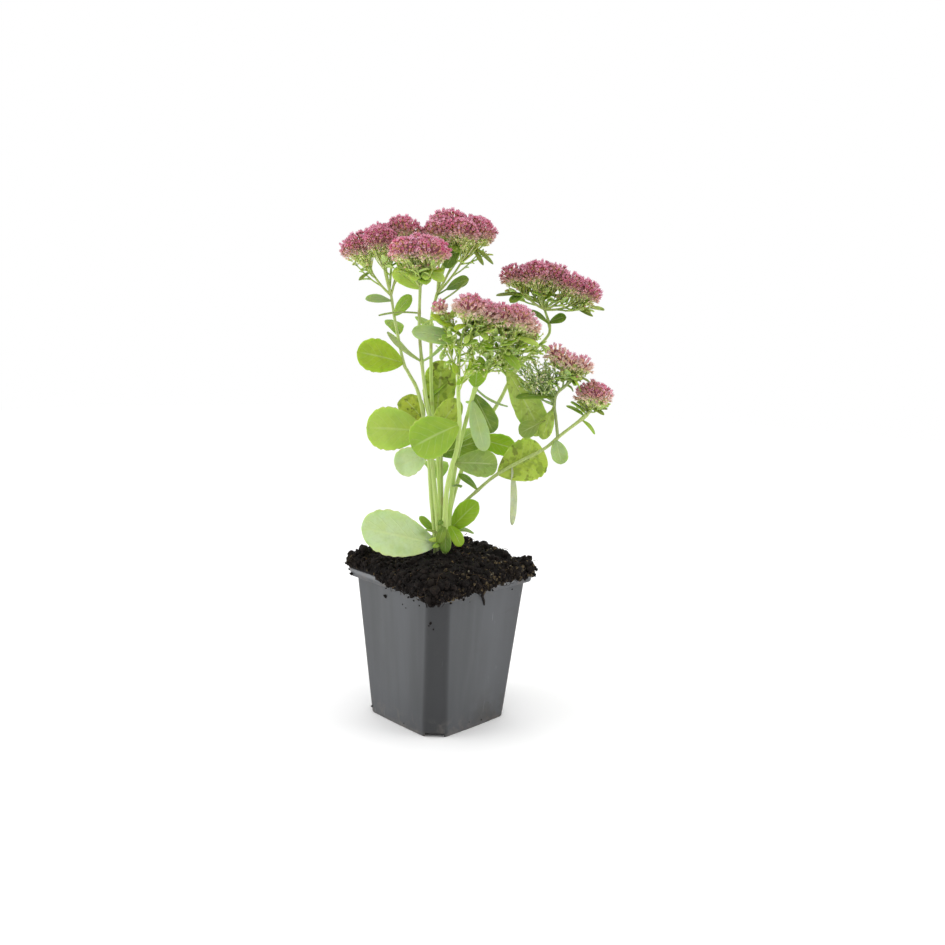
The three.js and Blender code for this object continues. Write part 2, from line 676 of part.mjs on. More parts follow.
// The branch with the flower stalks that spread from its upper part.
function truss(cluster, fork, all) {
  const branch = branchTo(cluster, fork);
  const parts = [stalk(branch, 3, 4, 1, 0.75)];
  const count = cluster.radius > 8 ? 3 : 2;
  for (let k = 0; k < count; k++) {
    const angle = (2 * Math.PI * k) / count + cluster.radius;
    const local = new THREE.Vector3(0.64 * Math.cos(angle), 0.64 * Math.sin(angle), -0.77);
    const tip = local.multiply(new THREE.Vector3(cluster.wide, cluster.wide, cluster.low + GAP));
    tip.z -= 0.1;
    tip.applyQuaternion(cluster.turn).add(cluster.centre);
    const foot = upperPoint(branch, k % 2 ? 0.3 : 0.6);
    const clear = [0.5, 0.7, 0.85, 1].every((t) => {
      const point = foot.clone().lerp(tip, t);
      return all.every((other) => other === cluster || depth(other, point, 2) > 1);
    });
    if (clear) {
      parts.push(stalk(new THREE.LineCurve3(foot, tip), 1, 3, 0.7, 0.6));
    }
  }
  return parts;
}

// -------------------------------------------------------------------- growth
function makeStem(name, curves, clustersByHead, all) {
  const stem = STEMS[name];
  const curve = curves[name];
  const steps = Math.round(curve.getLength() / 17);
  const parts = [stalk(curve, steps, 5, stem.radius[0], stem.radius[1])];
  const grow = (line, z, tip, width, facing, arch) => {
    const root = pointAtHeight(line, z);
    parts.push(blade(root, v3(tip), width, v3(facing).normalize(), arch));
  };
  for (const [owner, z, tip, width, facing, arch] of LEAVES) {
    if (owner === name) {
      grow(curve.getSpacedPoints(steps), z, tip, width, facing, arch);
    }
  }
  const branches = [name];
  if (name === "low_right") {
    parts.push(stalk(curves.side, 5, 5, 1.2, 0.95));
    SIDE_LEAVES.forEach(([z, ...leaf]) => grow(curves.side.getSpacedPoints(5), z, ...leaf));
    branches.push("side");
  }
  for (const [head, { feeds }] of Object.entries(HEADS)) {
    feeds.forEach((feeder, i) => {
      if (branches.includes(feeder)) {
        parts.push(...truss(clustersByHead[head][i], curves[feeder].getPoint(1), all));
      }
    });
  }
  for (const [head, i, tip, width] of BRACTS) {
    if (branches.includes(HEADS[head].feeds[i])) {
      const feeder = HEADS[head].feeds[i];
      const branch = branchTo(clustersByHead[head][i], curves[feeder].getPoint(1));
      const root = upperPoint(branch, 0.1);
      parts.push(blade(root, v3(tip), width, new THREE.Vector3(0, -0.4, 0.9), 0.6));
    }
  }
  return fuse(parts);
}

// ------------------------------------------------------------------ assembly
function assemble() {
  const curves = { side: new THREE.CatmullRomCurve3(SIDE_BRANCH.map(v3)) };
  for (const [name, stem] of Object.entries(STEMS)) {
    curves[name] = stemCurve(stem);
  }
  const clustersByHead = {};
  for (const [head, { feeds, clusters }] of Object.entries(HEADS)) {
    const forkOf = (i) => curves[feeds[i] ?? feeds.at(-1)].getPoint(1);
    clustersByHead[head] = clusters.map((row, i) => clusterOf(row, forkOf(i)));
  }
  const all = Object.values(clustersByHead).flat();

  const group = new THREE.Group();
  group.name = "sedum_in_pot";
  group.add(piece("pot", makePot(), "pot_plastic"));
  group.add(piece("soil", makeSoil(Object.values(STEMS)), "peat_soil"));
  const plant = new THREE.Group();
  plant.name = "plant";
  plant.rotation.z = PLANT_TURN;
  for (const name of Object.keys(STEMS)) {
    plant.add(piece(`stem_${name}`, makeStem(name, curves, clustersByHead, all), "foliage"));
  }
  for (const [head, clusters] of Object.entries(clustersByHead)) {
    plant.add(piece(`head_${head}`, makeHead(clusters), "blossom"));
  }
  group.add(plant);
  return group;
}

export default assemble();
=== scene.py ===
"""Sedum 'Autumn Joy' in a square nursery pot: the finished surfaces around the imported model.

The plant is laid out in millimetres in its own frame, x to the right of the pot's front corner,
y away from it and z up; lay() turns it onto the pot and puts it into metres.
"""

import math

import bmesh
import bpy
import numpy as np
from mathutils import Matrix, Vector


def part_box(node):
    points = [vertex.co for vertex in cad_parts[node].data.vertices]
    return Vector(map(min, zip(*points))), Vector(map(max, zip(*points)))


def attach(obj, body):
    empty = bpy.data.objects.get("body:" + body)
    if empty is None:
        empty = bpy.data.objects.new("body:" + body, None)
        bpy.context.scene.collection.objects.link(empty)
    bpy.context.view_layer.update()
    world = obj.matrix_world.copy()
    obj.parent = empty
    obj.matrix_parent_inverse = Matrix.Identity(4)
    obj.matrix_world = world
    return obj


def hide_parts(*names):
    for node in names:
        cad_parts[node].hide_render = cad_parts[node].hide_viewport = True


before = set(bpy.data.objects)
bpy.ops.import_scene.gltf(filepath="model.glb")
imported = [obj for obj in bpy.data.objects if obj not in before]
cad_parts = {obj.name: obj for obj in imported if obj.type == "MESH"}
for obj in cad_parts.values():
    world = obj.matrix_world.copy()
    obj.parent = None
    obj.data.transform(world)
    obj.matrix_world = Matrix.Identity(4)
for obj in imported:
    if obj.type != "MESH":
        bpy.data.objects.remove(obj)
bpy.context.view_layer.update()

# ------------------------------------------------------------------------------------- pot
# A thin-walled square pot, injection moulded in grey recycled polypropylene: cut corners, a crease
# down the middle of each side, a turned-down rim, raised corner feet and drain holes. It is used:
# the wall has flow streaks and fine scuffs, with compost dust on the rim and round the foot.

POT_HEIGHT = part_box("pot")[1].z * 1000
RIM_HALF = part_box("pot")[1].x * 1000
RIM_LEG = 6.8          # corner cut of the rim, measured along a side
FOOT_HALF, FOOT_LEG = 34.5, 9.4
NECK_HALF, NECK_LEG = 42.0, 8.4  # the wall just under the rim
WALL = 1.0
FLOOR = 1.4
CREASE = 0.6           # how far the crease stands out at mid-side
SKIRT_DROP = 5.2
FOOT_GAP = 2.6         # the corners stand this high between the feet
MM = 0.001             # a millimetre in metres
HOLE_RADIUS = 0.0032
HOLE_RINGS = (0.018, 0.025)


def parabola(start, bend, end, t):
    """A quadratic Bezier: it leaves the start towards "bend" and comes to the end from there."""
    return start * (1 - t) ** 2 + bend * 2 * t * (1 - t) + end * t**2


def rounded(corners, reach, samples=6, closed=False):
    """The line through the corners with each one softened: it leaves its straight run "reach" before
    the corner and joins the next run "reach" after it, along a parabola. A guard point on each run
    keeps its shading flat."""
    corners = np.asarray(corners, float)
    reach = np.broadcast_to(np.asarray(reach, float), len(corners))
    before, after = np.roll(corners, 1, 0) - corners, np.roll(corners, -1, 0) - corners
    t = np.linspace(0, 1, samples)[None, :, None]

    def leave(way):
        length = np.linalg.norm(way, axis=1)
        return corners + way * (np.minimum(reach, 0.4 * length) / np.maximum(length, 1e-9))[:, None]

    start, end = leave(before)[:, None], leave(after)[:, None]
    bends = parabola(start, corners[:, None], end, t)
    guard_in = start + (start - corners[:, None]) * 0.35
    guard_out = end + (end - corners[:, None]) * 0.35
    bends = np.concatenate([guard_in, bends, guard_out], axis=1)
    if not closed:
        inner = bends[1:-1].reshape(-1, corners.shape[1])
        return np.concatenate([corners[:1], inner, corners[-1:]])
    return bends.reshape(-1, corners.shape[1])


def pot_ring(half, leg, z, crease):
    """One level of the wall: four sides at "half" from the middle, each swelling to "crease" at its
    middle, joined by corner cuts of length "leg" along the sides."""
    side = np.array([[half, leg - half], [half + crease, 0], [half, half - leg]])
    turns = [np.linalg.matrix_power(np.array([[0, 1], [-1, 0]]), k) for k in range(4)]
    corners = np.concatenate([side @ turn for turn in turns])
    flat = rounded(corners, np.tile([2.2, 4.5, 2.2], 4), 6, closed=True)
    return np.column_stack([flat, np.full(len(flat), z)])


def ring_faces(rows, columns):
    """Quads between rows of a closed ring, and the fans to a point before and after them."""
    j, i = np.meshgrid(np.arange(rows - 1), np.arange(columns), indexing="ij")
    k = (i + 1) % columns
    quads = np.stack([j * columns + i, j * columns + k, (j + 1) * columns + k, (j + 1) * columns + i], -1)
    i = np.arange(columns)
    k = (i + 1) % columns
    start, last = rows * columns, (rows - 1) * columns
    near = np.stack([np.full(columns, start), k, i], -1)
    far = np.stack([np.full(columns, start + 1), last + i, last + k], -1)
    return quads.reshape(-1, 4), np.concatenate([near, far])


def lofted(rings, start, end):
    """A closed skin over equal rings (rows, columns, 3), each end drawn in to one point."""
    rows, columns = rings.shape[:2]
    quads, fans = ring_faces(rows, columns)
    points = np.concatenate([rings.reshape(-1, 3), [start, end]])
    return {"points": points, "quads": quads, "fans": fans, "fields": {}}


def in_metres(skin):
    """A skin that was laid out in millimetres."""
    skin["points"] = skin["points"] * MM
    return skin


def linear(colour):
    """A colour written as on a colour card, "#rrggbb", as the linear values that shaders take."""
    raw = np.array([int(colour[k:k + 2], 16) for k in (1, 3, 5)]) / 255
    return np.where(raw > 0.04045, ((raw + 0.055) / 1.055) ** 2.4, raw / 12.92)


class Value:
    """An output of a shader node. Arithmetic on it adds Math nodes."""

    def __init__(self, finish, socket):
        self.finish, self.socket = finish, socket

    def math(self, operation, *terms):
        return self.finish.node("ShaderNodeMath", {"operation": operation}, dict(enumerate(terms)))

    def __add__(self, other):
        return self.math("ADD", self, other)

    def __mul__(self, other):
        return self.math("MULTIPLY", self, other)

    def __sub__(self, other):
        return self.math("SUBTRACT", self, other)

    def __rsub__(self, other):
        return self.math("SUBTRACT", other, self)

    __radd__, __rmul__ = __add__, __mul__

    def step(self, low, high):
        """0 below "low", 1 above "high" and a smooth rise between them; the other way if low > high."""
        settings = {"interpolation_type": "SMOOTHSTEP"}
        values = {"Value": self, "From Min": min(low, high), "From Max": max(low, high)}
        rise = self.finish.node("ShaderNodeMapRange", settings, values)
        return rise if low < high else 1 - rise


class Nodes:
    """A node tree that is being filled."""

    def __init__(self, tree):
        self.tree = tree

    def node(self, kind, settings, values, out=0):
        """Adds a node of this kind; settings go on first, then values or links on its sockets."""
        made = self.tree.nodes.new(kind)
        for name, value in settings.items():
            if name == "stops":
                while len(made.color_ramp.elements) < len(value):
                    made.color_ramp.elements.new(0.5)
                for element, (place, colour) in zip(made.color_ramp.elements, value):
                    element.position, element.color = place, (*linear(colour), 1)
            else:
                setattr(made, name, value)
        for name, value in values.items():
            if isinstance(value, Value):
                self.tree.links.new(value.socket, made.inputs[name])
            else:
                made.inputs[name].default_value = value
        return Value(self, made.outputs[out])


class Finish(Nodes):
    """One material: a Principled shader, and the nodes that vary it over the surface."""

    def __init__(self, name, constants):
        self.material = bpy.data.materials.new(name)
        self.material.use_nodes = True
        super().__init__(self.material.node_tree)
        self.shader = self.tree.nodes["Principled BSDF"]
        for socket, value in constants.items():
            self.shader.inputs[socket].default_value = value

    def place(self, stretch=(1, 1, 1)):
        """Where a point lies on the object, in metres, stretched along the axes."""
        at = self.node("ShaderNodeTexCoord", {}, {}, "Object")
        return self.node("ShaderNodeMapping", {}, {"Vector": at, "Scale": stretch})

    def noise(self, size, at=None, detail=3, distortion=0.0):
        """Cloudy noise, 0 to 1, with blotches about "size" metres across."""
        values = {"Vector": at or self.place(), "Scale": 1 / size, "Detail": detail}
        return self.node("ShaderNodeTexNoise", {}, {**values, "Distortion": distortion}, 0)

    def along(self, way):
        """How far a point lies along a direction, in metres."""
        dot = {"operation": "DOT_PRODUCT"}
        return self.node("ShaderNodeVectorMath", dot, {0: self.place(), 1: way}, 1)

    def field(self, name, part=None):
        """A value that the mesh carries at each point: its colour, or one part of its vector."""
        settings = {"attribute_type": "GEOMETRY", "attribute_name": name}
        if part is None:
            return self.node("ShaderNodeAttribute", settings, {}, "Color")
        vector = self.node("ShaderNodeAttribute", settings, {}, "Vector")
        return self.node("ShaderNodeSeparateXYZ", {}, {0: vector}, part)

    def blend(self, amount, low, high):
        """Goes from one colour to the other as "amount" goes from 0 to 1."""
        low, high = [(*linear(c), 1) if isinstance(c, str) else c for c in (low, high)]
        return self.node("ShaderNodeMix", {"data_type": "RGBA"}, {0: amount, 6: low, 7: high}, 2)

    def wear(self, colour, rough, relief=None):
        """Feeds the shader its colour, its roughness and, through a bump, its relief in metres."""
        sockets = {"Base Color": colour, "Roughness": rough}
        if relief is not None:
            bump = {"Height": relief, "Distance": 1.0, "Strength": 1.0}
            sockets["Normal"] = self.node("ShaderNodeBump", {}, bump)
        for socket, value in sockets.items():
            self.tree.links.new(value.socket, self.shader.inputs[socket])
        return self.material


def carve(name, skin, cutters):
    """Cuts closed shapes out of a skin, exactly, and gives the mesh that is left."""
    body, tool = bpy.data.meshes.new(name), bpy.data.meshes.new(name + "_tool")
    body.from_pydata(skin["points"], [], [*skin["quads"].tolist(), *skin["fans"].tolist()])
    cutters.to_mesh(tool)
    cutters.free()
    things = [bpy.data.objects.new(m.name, m) for m in (body, tool)]
    for thing in things:
        bpy.context.scene.collection.objects.link(thing)
    boolean = things[0].modifiers.new("cut", "BOOLEAN")
    boolean.operation, boolean.solver, boolean.object = "DIFFERENCE", "EXACT", things[1]
    ready = things[0].evaluated_get(bpy.context.evaluated_depsgraph_get())
    result = bpy.data.meshes.new_from_object(ready)
    for thing in things:
        bpy.data.objects.remove(thing)
    return result


def inset(leg, depth):
    """The corner cut of a square that lies "depth" inside another one with the cut "leg"."""
    return leg - depth * (2 - math.sqrt(2))


def pot_skin():
    """The wall's section, carried round the pot: from the middle of the underside out to the foot, up
    the outside, under the rim, round its skirt, over the lip and down the inside to the floor."""
    lip, skirt = POT_HEIGHT - 0.8, POT_HEIGHT - SKIRT_DROP
    section = np.array([
        (FOOT_HALF - 3, FOOT_LEG, 0, CREASE),
        (FOOT_HALF, FOOT_LEG, 0, CREASE),
        (NECK_HALF, NECK_LEG, lip, CREASE),
        (RIM_HALF - 1.1, RIM_LEG + 0.3, lip, 0),
        (RIM_HALF - 1.8, RIM_LEG + 0.3, skirt, 0),
        (RIM_HALF - 1.0, RIM_LEG + 0.3, skirt, 0),
        (RIM_HALF, RIM_LEG, POT_HEIGHT, 0),
        (NECK_HALF - WALL, inset(NECK_LEG, WALL), POT_HEIGHT, CREASE),
        (FOOT_HALF + 0.1 - WALL, inset(FOOT_LEG, WALL), FLOOR, CREASE),
        (FOOT_HALF - 4, inset(FOOT_LEG, WALL), FLOOR, CREASE),
    ])
    levels = rounded(section, [0, 0.7, 0.6, 0.35, 0.3, 0.3, 0.8, 0.4, 1.2, 0], 5)
    rings = np.stack([pot_ring(*level) for level in levels])
    return in_metres(lofted(rings, (0, 0, 0), (0, 0, FLOOR)))


def pot_openings():
    """A notch under each corner and eight drain holes in two rings, as one mesh of cutters."""
    cutters = bmesh.new()
    out = Matrix.Translation(((2 * FOOT_HALF - FOOT_LEG) / math.sqrt(2) / 1000, 0, 0))
    size = Matrix.Diagonal((0.02, 0.012, 2 * FOOT_GAP / 1000, 1))
    for corner in range(4):
        turn = Matrix.Rotation(math.radians(45 + 90 * corner), 4, "Z")
        bmesh.ops.create_cube(cutters, size=1, matrix=turn @ out @ size)
    hole = {"segments": 24, "radius1": HOLE_RADIUS, "radius2": HOLE_RADIUS, "depth": 4 * FLOOR * MM}
    for k in range(8):
        away = Matrix.Translation((HOLE_RINGS[k % 2], 0, 0))
        at = Matrix.Rotation(math.radians(45 * k), 4, "Z") @ away
        bmesh.ops.create_cone(cutters, cap_ends=True, matrix=at, **hole)
    return cutters


def pot_finish():
    """Grey plastic with upright flow streaks, scuffs and dust that thickens towards foot and rim, with
    painted shade on the corner cuts and near them.
    """
    f = Finish("pot_plastic", {"Specular IOR Level": 0.42})
    height = f.node("ShaderNodeSeparateXYZ", {}, {0: f.place()}, 2)
    streaks = f.noise(0.008, f.place((1, 1, 0.06)), 4)
    clouds = f.noise(0.045, f.place((1, 1, 0.5)), 2)
    colour = f.blend(streaks.step(0.3, 0.7), "#454749", "#4d4f52")
    colour = f.blend(clouds.step(0.35, 0.7) * 0.55, colour, "#55575b")
    # painted shade below the rim: darker towards the corner cuts, which lie where |x| + |y| grows evenly
    # from foot to neck, and darker still on the cuts themselves; and paler on the lip
    across = f.node("ShaderNodeVectorMath", {"operation": "ABSOLUTE"}, {0: f.place()}, 0)
    dot = {"operation": "DOT_PRODUCT"}
    reach = f.node("ShaderNodeVectorMath", dot, {0: across, 1: (1, 1, 0)}, 1)
    foot, neck = (2 * FOOT_HALF - FOOT_LEG) / 1000, (2 * NECK_HALF - NECK_LEG) / 1000
    short_of_cut = reach - (foot + height * ((neck - foot) * 1000 / POT_HEIGHT))
    corner = short_of_cut.step(-0.0028, 0.0)
    edge = short_of_cut.step(-0.022, -0.001)
    below = height.step(0.0905, 0.0895)
    # painted shade over the wall near the corner cuts
    colour = f.blend(edge * below * 0.26, colour, "#2a2b2d")
    colour = f.blend(height.step(0.0925, 0.0945) * 0.6, colour, "#808285")
    # painted shade on the corner cuts
    colour = f.blend(corner * below * 0.8, colour, "#27282a")
    # compost dust round the foot and under the rim
    grain = f.noise(0.0004, detail=2)
    dust = f.noise(0.006, detail=5, distortion=0.6).step(0.45, 0.75)
    low = height.step(0.016, 0.0)
    high = height.step(0.086, 0.0945)
    cover = (dust * (low * 0.75 + high * 0.8) + height.step(0.004, 0) * 0.25) * (0.6 + 0.4 * grain)
    colour = f.blend(cover, colour, "#77706a")
    # scuffs, smears, and a damp stain low down on the right
    scratch = f.noise(0.0016, f.place((1, 1, 0.09)), 2).step(0.66, 0.74) * clouds.step(0.5, 0.65)
    colour = f.blend(scratch * 0.35, colour, "#8a8c90")
    smears = f.noise(0.014, detail=4, distortion=1.2).step(0.62, 0.72) * height.step(0.03, 0.09)
    colour = f.blend(smears * 0.3, colour, "#3f3d3c")
    right = f.along((0.71, -0.71, 0)).step(0.016, 0.03)
    stain = right * height.step(0.03, 0.008) * f.noise(0.012, detail=4).step(0.35, 0.6)
    colour = f.blend(stain * 0.55, colour, "#35332f")
    rough = 0.36 + 0.12 * clouds + 0.3 * cover + 0.12 * scratch
    relief = grain * 0.00003 + streaks * 0.00005 - scratch * 0.00004 + cover * 0.00006
    return f.wear(colour, rough, relief)


def stand_in(name, mesh, material, node):
    """Puts a mesh into the scene as a piece that takes the place of a node of the model."""
    mesh.polygons.foreach_set("use_smooth", np.full(len(mesh.polygons), True))
    mesh.materials.append(material)
    thing = bpy.data.objects.new(name, mesh)
    bpy.context.scene.collection.objects.link(thing)
    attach(thing, "root")
    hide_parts(node)


pot_mesh = carve("pot_wall", pot_skin(), pot_openings())
stand_in("pot_wall", pot_mesh, pot_finish(), "pot")
pot_mesh.set_sharp_from_angle(angle=math.radians(50))

# ---------------------------------------------------------------------------------- compost
# Dark peat compost, heaped over the rim. Its surface is lumps of peat with crumbs of every size, a
# few root fibres and chips of bark, and in front it hangs down outside the rim.

PLANT_TURN = math.radians(-45)
HEAP_HALF = 45.9       # half the heap's width at the rim
GAP = 0.3              # between the compost and the pot
HASH_PRIMES = np.array([73856093, 19349663, 83492791])
NO_QUADS = np.zeros((0, 4), int)


def about_z(angle):
    """The turn about the upright axis, as a matrix that multiplies row vectors from the right."""
    c, s = math.cos(angle), math.sin(angle)
    return np.array([[c, s, 0], [-s, c, 0], [0, 0, 1]])


def lay(points):
    """Points in the plant's frame, in millimetres, turned about the pot's middle, in metres."""
    return np.asarray(points) @ about_z(PLANT_TURN) * MM


def round_angles(count):
    """Even angles all the way round, in radians."""
    return np.linspace(0, 2 * np.pi, count, endpoint=False)


def round_axis(reach, angle, height):
    """Points at a distance from the upright axis, an angle round it and a height."""
    return np.stack([reach * np.cos(angle), reach * np.sin(angle), height], -1)


def lumps(points, size, seed):
    """Smooth noise, -1 to 1: a draw at each corner of a grid of cells "size" wide, blended across
    each cell by 3t^2 - 2t^3 along x, y and z."""
    at = np.asarray(points) / size + seed * 17.31
    cell = np.floor(at).astype(np.int64)
    part = at - cell
    ease = part * part * (3 - 2 * part)
    total = np.zeros(len(at))
    for corner in range(8):
        step = np.array([corner & 1, (corner >> 1) & 1, (corner >> 2) & 1])
        key = (cell + step) @ HASH_PRIMES
        draw = np.abs(np.sin(key.astype(float) % 100003 * 12.9898 + seed)) * 43758.5453 % 1
        total += draw * np.prod(np.where(step, ease, 1 - ease), axis=1)
    return 2 * total - 1


# knolls and dips of the surface: x, y in the plant's frame, how high, how wide
KNOLLS = [
    (-53, 0, 4.5, 5), (-44, -6, -1.5, 5), (-38, 12, 4.5, 5), (-36, -12, 1.5, 7), (30, 22, 3, 8),
    (33, 4, 4, 6), (39, 0, 3, 4), (54, -2, 3.5, 4), (47, 8, -3, 6), (14, -34, 2.5, 10),
    (-12, -40, 1.5, 9), (2, 40, 2, 10), (20, -22, 2, 7), (4, -6, 4.5, 9),
]
ROUGHNESS = [(1.6, 14), (1.7, 6), (1.3, 3), (0.7, 1.4)]  # how high and how wide its lumps are


def even_share(points):
    """Chances that make a pick even over the ground, because the rings crowd towards the middle."""
    share = np.hypot(points[:, 0], points[:, 1]) + 1
    return share / share.sum()


def across_plant(points):
    """How far points lie to the right in the plant's frame."""
    return math.cos(PLANT_TURN) * points[:, 0] + math.sin(PLANT_TURN) * points[:, 1]


def over_pot(x, y):
    """A place in the plant's frame, seen from above, in the pot's frame."""
    c, s = math.cos(PLANT_TURN), math.sin(PLANT_TURN)
    return c * x - s * y, s * x + c * y


def heap_skin(around=320, down=84):
    """Rings from the pot's floor up its wall, out over the rim and in over the heap to its top. Over
    the rim the surface moves along its own slope by the lumps, and up by the knolls. Also gives the
    points of the open surface, in millimetres."""
    levels = np.array([
        (FOOT_HALF + 0.1 - WALL - GAP, inset(FOOT_LEG, WALL + GAP), FLOOR + GAP),
        (NECK_HALF - WALL - GAP, inset(NECK_LEG, WALL + GAP), POT_HEIGHT + GAP),
        (HEAP_HALF - 0.6, RIM_LEG + 0.8, POT_HEIGHT + GAP),
        (HEAP_HALF + 0.6, RIM_LEG + 1, 98.4),
        (HEAP_HALF - 2.4, RIM_LEG + 2, 102.2),
        (HEAP_HALF - 10, RIM_LEG + 3, 104.8),
        (HEAP_HALF - 24, RIM_LEG, 106.0),
        (11, 3.4, 106.6),
        (0.6, 0.2, 107),
    ])
    # few rows on the wall, which can't be seen, and even ones over the rim
    share = np.concatenate([[0, 0.05, 0.08], np.linspace(0.13, 1, len(levels) - 3)])
    rows = np.concatenate([np.linspace(0, 0.08, 6), np.linspace(0.08, 1, down)[1:]])
    level = np.stack([np.interp(rows, share, levels[:, k]) for k in range(3)], 1)
    rings = []
    for half, leg, z in level:
        ring = pot_ring(half, leg, z, 0)
        steps = np.linalg.norm(np.roll(ring, -1, 0) - ring, axis=1)
        walk = np.concatenate([[0], np.cumsum(steps)])
        looped = np.concatenate([ring, ring[:1]])
        even = np.linspace(0, walk[-1], around, endpoint=False)
        rings.append(np.stack([np.interp(even, walk, looped[:, k]) for k in range(3)], 1))
    rings = np.stack(rings)
    # the surface is loose over the rim only, and its lumps stand out sideways where it is steep
    loose = np.clip((rings[..., 2] - POT_HEIGHT - 0.6) / 3, 0, 1)
    flat = rings.reshape(-1, 3)
    out = np.stack([flat[:, 0], flat[:, 1], np.zeros(len(flat))], 1)
    out /= np.maximum(np.linalg.norm(out, axis=1, keepdims=True), 1e-6)
    steep = np.clip((np.hypot(flat[:, 0], flat[:, 1]) - 30) / 18, 0, 1)[:, None]
    way = out * steep * 0.6 + np.array([0, 0, 1]) * (1 - 0.3 * steep)
    rough = sum(high * lumps(flat, wide, n) for n, (high, wide) in enumerate(ROUGHNESS, 1))
    moved = flat + way * (rough * loose.ravel())[:, None]
    for x, y, high, wide in KNOLLS:
        east, north = over_pot(x, y)
        away = np.hypot(flat[:, 0] - east, flat[:, 1] - north)
        moved[:, 2] += high * np.exp(-((away / wide) ** 2)) * loose.ravel()
    top = moved.reshape(rings.shape)
    return in_metres(lofted(top, (0, 0, FLOOR + GAP), top[-1].mean(0))), top[9:].reshape(-1, 3)


# how far the compost hangs down outside the rim in front: x in the plant's frame, depth
OVERHANG = [
    (-38, 0.4), (-35, 1.6), (-31, 2.4), (-26, 3.0), (-21, 2.6), (-16, 3.4), (-12, 2.6), (-8, 4.0),
    (-5, 5.6), (-2, 4.6), (0.5, 5.8), (3, 3.6), (6, 2.2), (14, 2.4), (22, 2.8), (27, 4.0),
    (31, 2.6), (34, 0.6), (41, 0.2), (47, 0.4), (51, 1.6), (55, 0.5),
]
OVERHANG_START = 36    # how far along the left side from the rim's corner the overhang starts
ROOT_RISE = 2.2        # its root lies this far over the rim


def apron_skin(steps=300, around=18):
    """The compost outside the rim: a strip along the two front sides, with the section of a drop. From
    its root over the rim it runs down outside the wall to the depth of the list, "thick" proud of it.
    Also gives the points of its outer face, in millimetres."""
    clear = 0.25
    inner, leg = RIM_HALF + clear, inset(RIM_LEG, -clear)
    bends = np.array([
        (-inner, inner - OVERHANG_START), (-inner, leg - inner), (leg - inner, -inner),
        (inner - leg - 2, -inner),
    ])
    run = np.concatenate([[0], np.cumsum(np.linalg.norm(np.diff(bends, axis=0), axis=1))])
    walk = np.linspace(0, run[-1], steps)
    at = np.stack([np.interp(walk, run, bends[:, k]) for k in range(2)], 1)
    bend_ends = [run[1] - 2, run[1] + 2, run[2] - 2, run[2] + 2]
    turn = np.radians(np.interp(walk, bend_ends, [180, 225, 225, 270]))
    out = np.stack([np.cos(turn), np.sin(turn)], 1)
    flat = np.stack([walk, walk * 0, walk * 0], 1)
    hang = np.interp(across_plant(at), *np.array(OVERHANG).T)
    depth = hang + np.clip(hang / 2, 0.2, 1) * (1.3 * lumps(flat, 2.6, 21) + 0.8 * lumps(flat, 1.1, 22))
    depth = np.maximum(depth, 0.3)
    thick = 1.3 + 0.5 * lumps(flat, 5, 23) + 0.4 * lumps(flat, 1.6, 24)
    a = round_angles(around)[None]
    drop = 0.5 - 0.5 * np.cos(a)
    high = POT_HEIGHT + ROOT_RISE - (depth[:, None] + ROOT_RISE) * drop
    proud = thick[:, None] * np.clip(np.sin(a), 0, 1) ** 0.7 * (1.15 - 0.5 * drop) + 0.05
    rings = np.stack([at[:, :1] + out[:, :1] * proud, at[:, 1:] + out[:, 1:] * proud, high], -1)
    every = rings.reshape(-1, 3)
    bumps = 0.5 * lumps(every, 1.5, 25) + 0.35 * lumps(every, 0.8, 26)
    bumps = bumps.reshape(proud.shape) * (proud > 0.3)
    rings[..., :2] += out[:, None] * bumps[..., None]
    rings[..., 2] += bumps * 0.5
    outer = rings[:, 2 : around // 2 + 1].reshape(-1, 3)
    return in_metres(lofted(rings, rings[0].mean(0), rings[-1].mean(0))), outer


def copies(points, quads, fans):
    """One skin from many of the same make, whose points are (copies, points of each, 3)."""
    count, each = points.shape[:2]
    step = (np.arange(count) * each)[:, None, None]
    return {
        "points": points.reshape(-1, 3), "quads": (quads[None] + step).reshape(-1, 4),
        "fans": (fans[None] + step).reshape(-1, 3), "fields": {},
    }


def scatter(template, at, turn, size):
    """Copies of one small skin: each is turned by its own 3 x 3 matrix, sized and moved to its place."""
    points = at[:, None] + np.einsum("vi,nij->nvj", template["points"], turn) * size[:, None, None]
    return copies(points, template["quads"], template["fans"])


def any_turn(rng, count):
    """Even random turns: the orthogonal factor of random matrices."""
    turn = np.linalg.qr(rng.normal(size=(count, 3, 3)))[0]
    return turn * np.sign(np.linalg.det(turn))[:, None, None]


def pebble(detail, rough, seed):
    """A small lump, 1 in radius: an icosphere with its points moved in and out."""
    ball = bmesh.new()
    bmesh.ops.create_icosphere(ball, subdivisions=detail, radius=1)
    points = np.array([v.co for v in ball.verts])
    fans = np.array([[v.index for v in face.verts] for face in ball.faces])
    ball.free()
    points *= 1 + rough * lumps(points, 0.7, seed)[:, None]
    points *= np.array([1, 0.85, 0.7])
    return {"points": points, "quads": NO_QUADS, "fans": fans, "fields": {}}


def tinted(skin, colour):
    """Gives every point of a skin a colour: one for all, or one for each of its equal copies."""
    colour = np.atleast_2d(colour)
    colour = np.repeat(colour, len(skin["points"]) // len(colour), axis=0)
    skin["fields"]["tint"] = np.column_stack([colour, np.ones(len(colour))])
    return skin


def card(*colours):
    """Colours from a colour card, one in each row."""
    return np.array([linear(colour) for colour in colours])


def between(low, high, share):
    """Goes from one colour of the card to the other as "share" goes from 0 to 1."""
    return linear(low) * (1 - share) + linear(high) * share


def unit(vector):
    """A vector scaled to length 1."""
    vector = np.asarray(vector, float)
    return vector / np.linalg.norm(vector)


def units(vectors):
    """Each row of vectors scaled to length 1."""
    return vectors / np.linalg.norm(vectors, axis=1, keepdims=True)


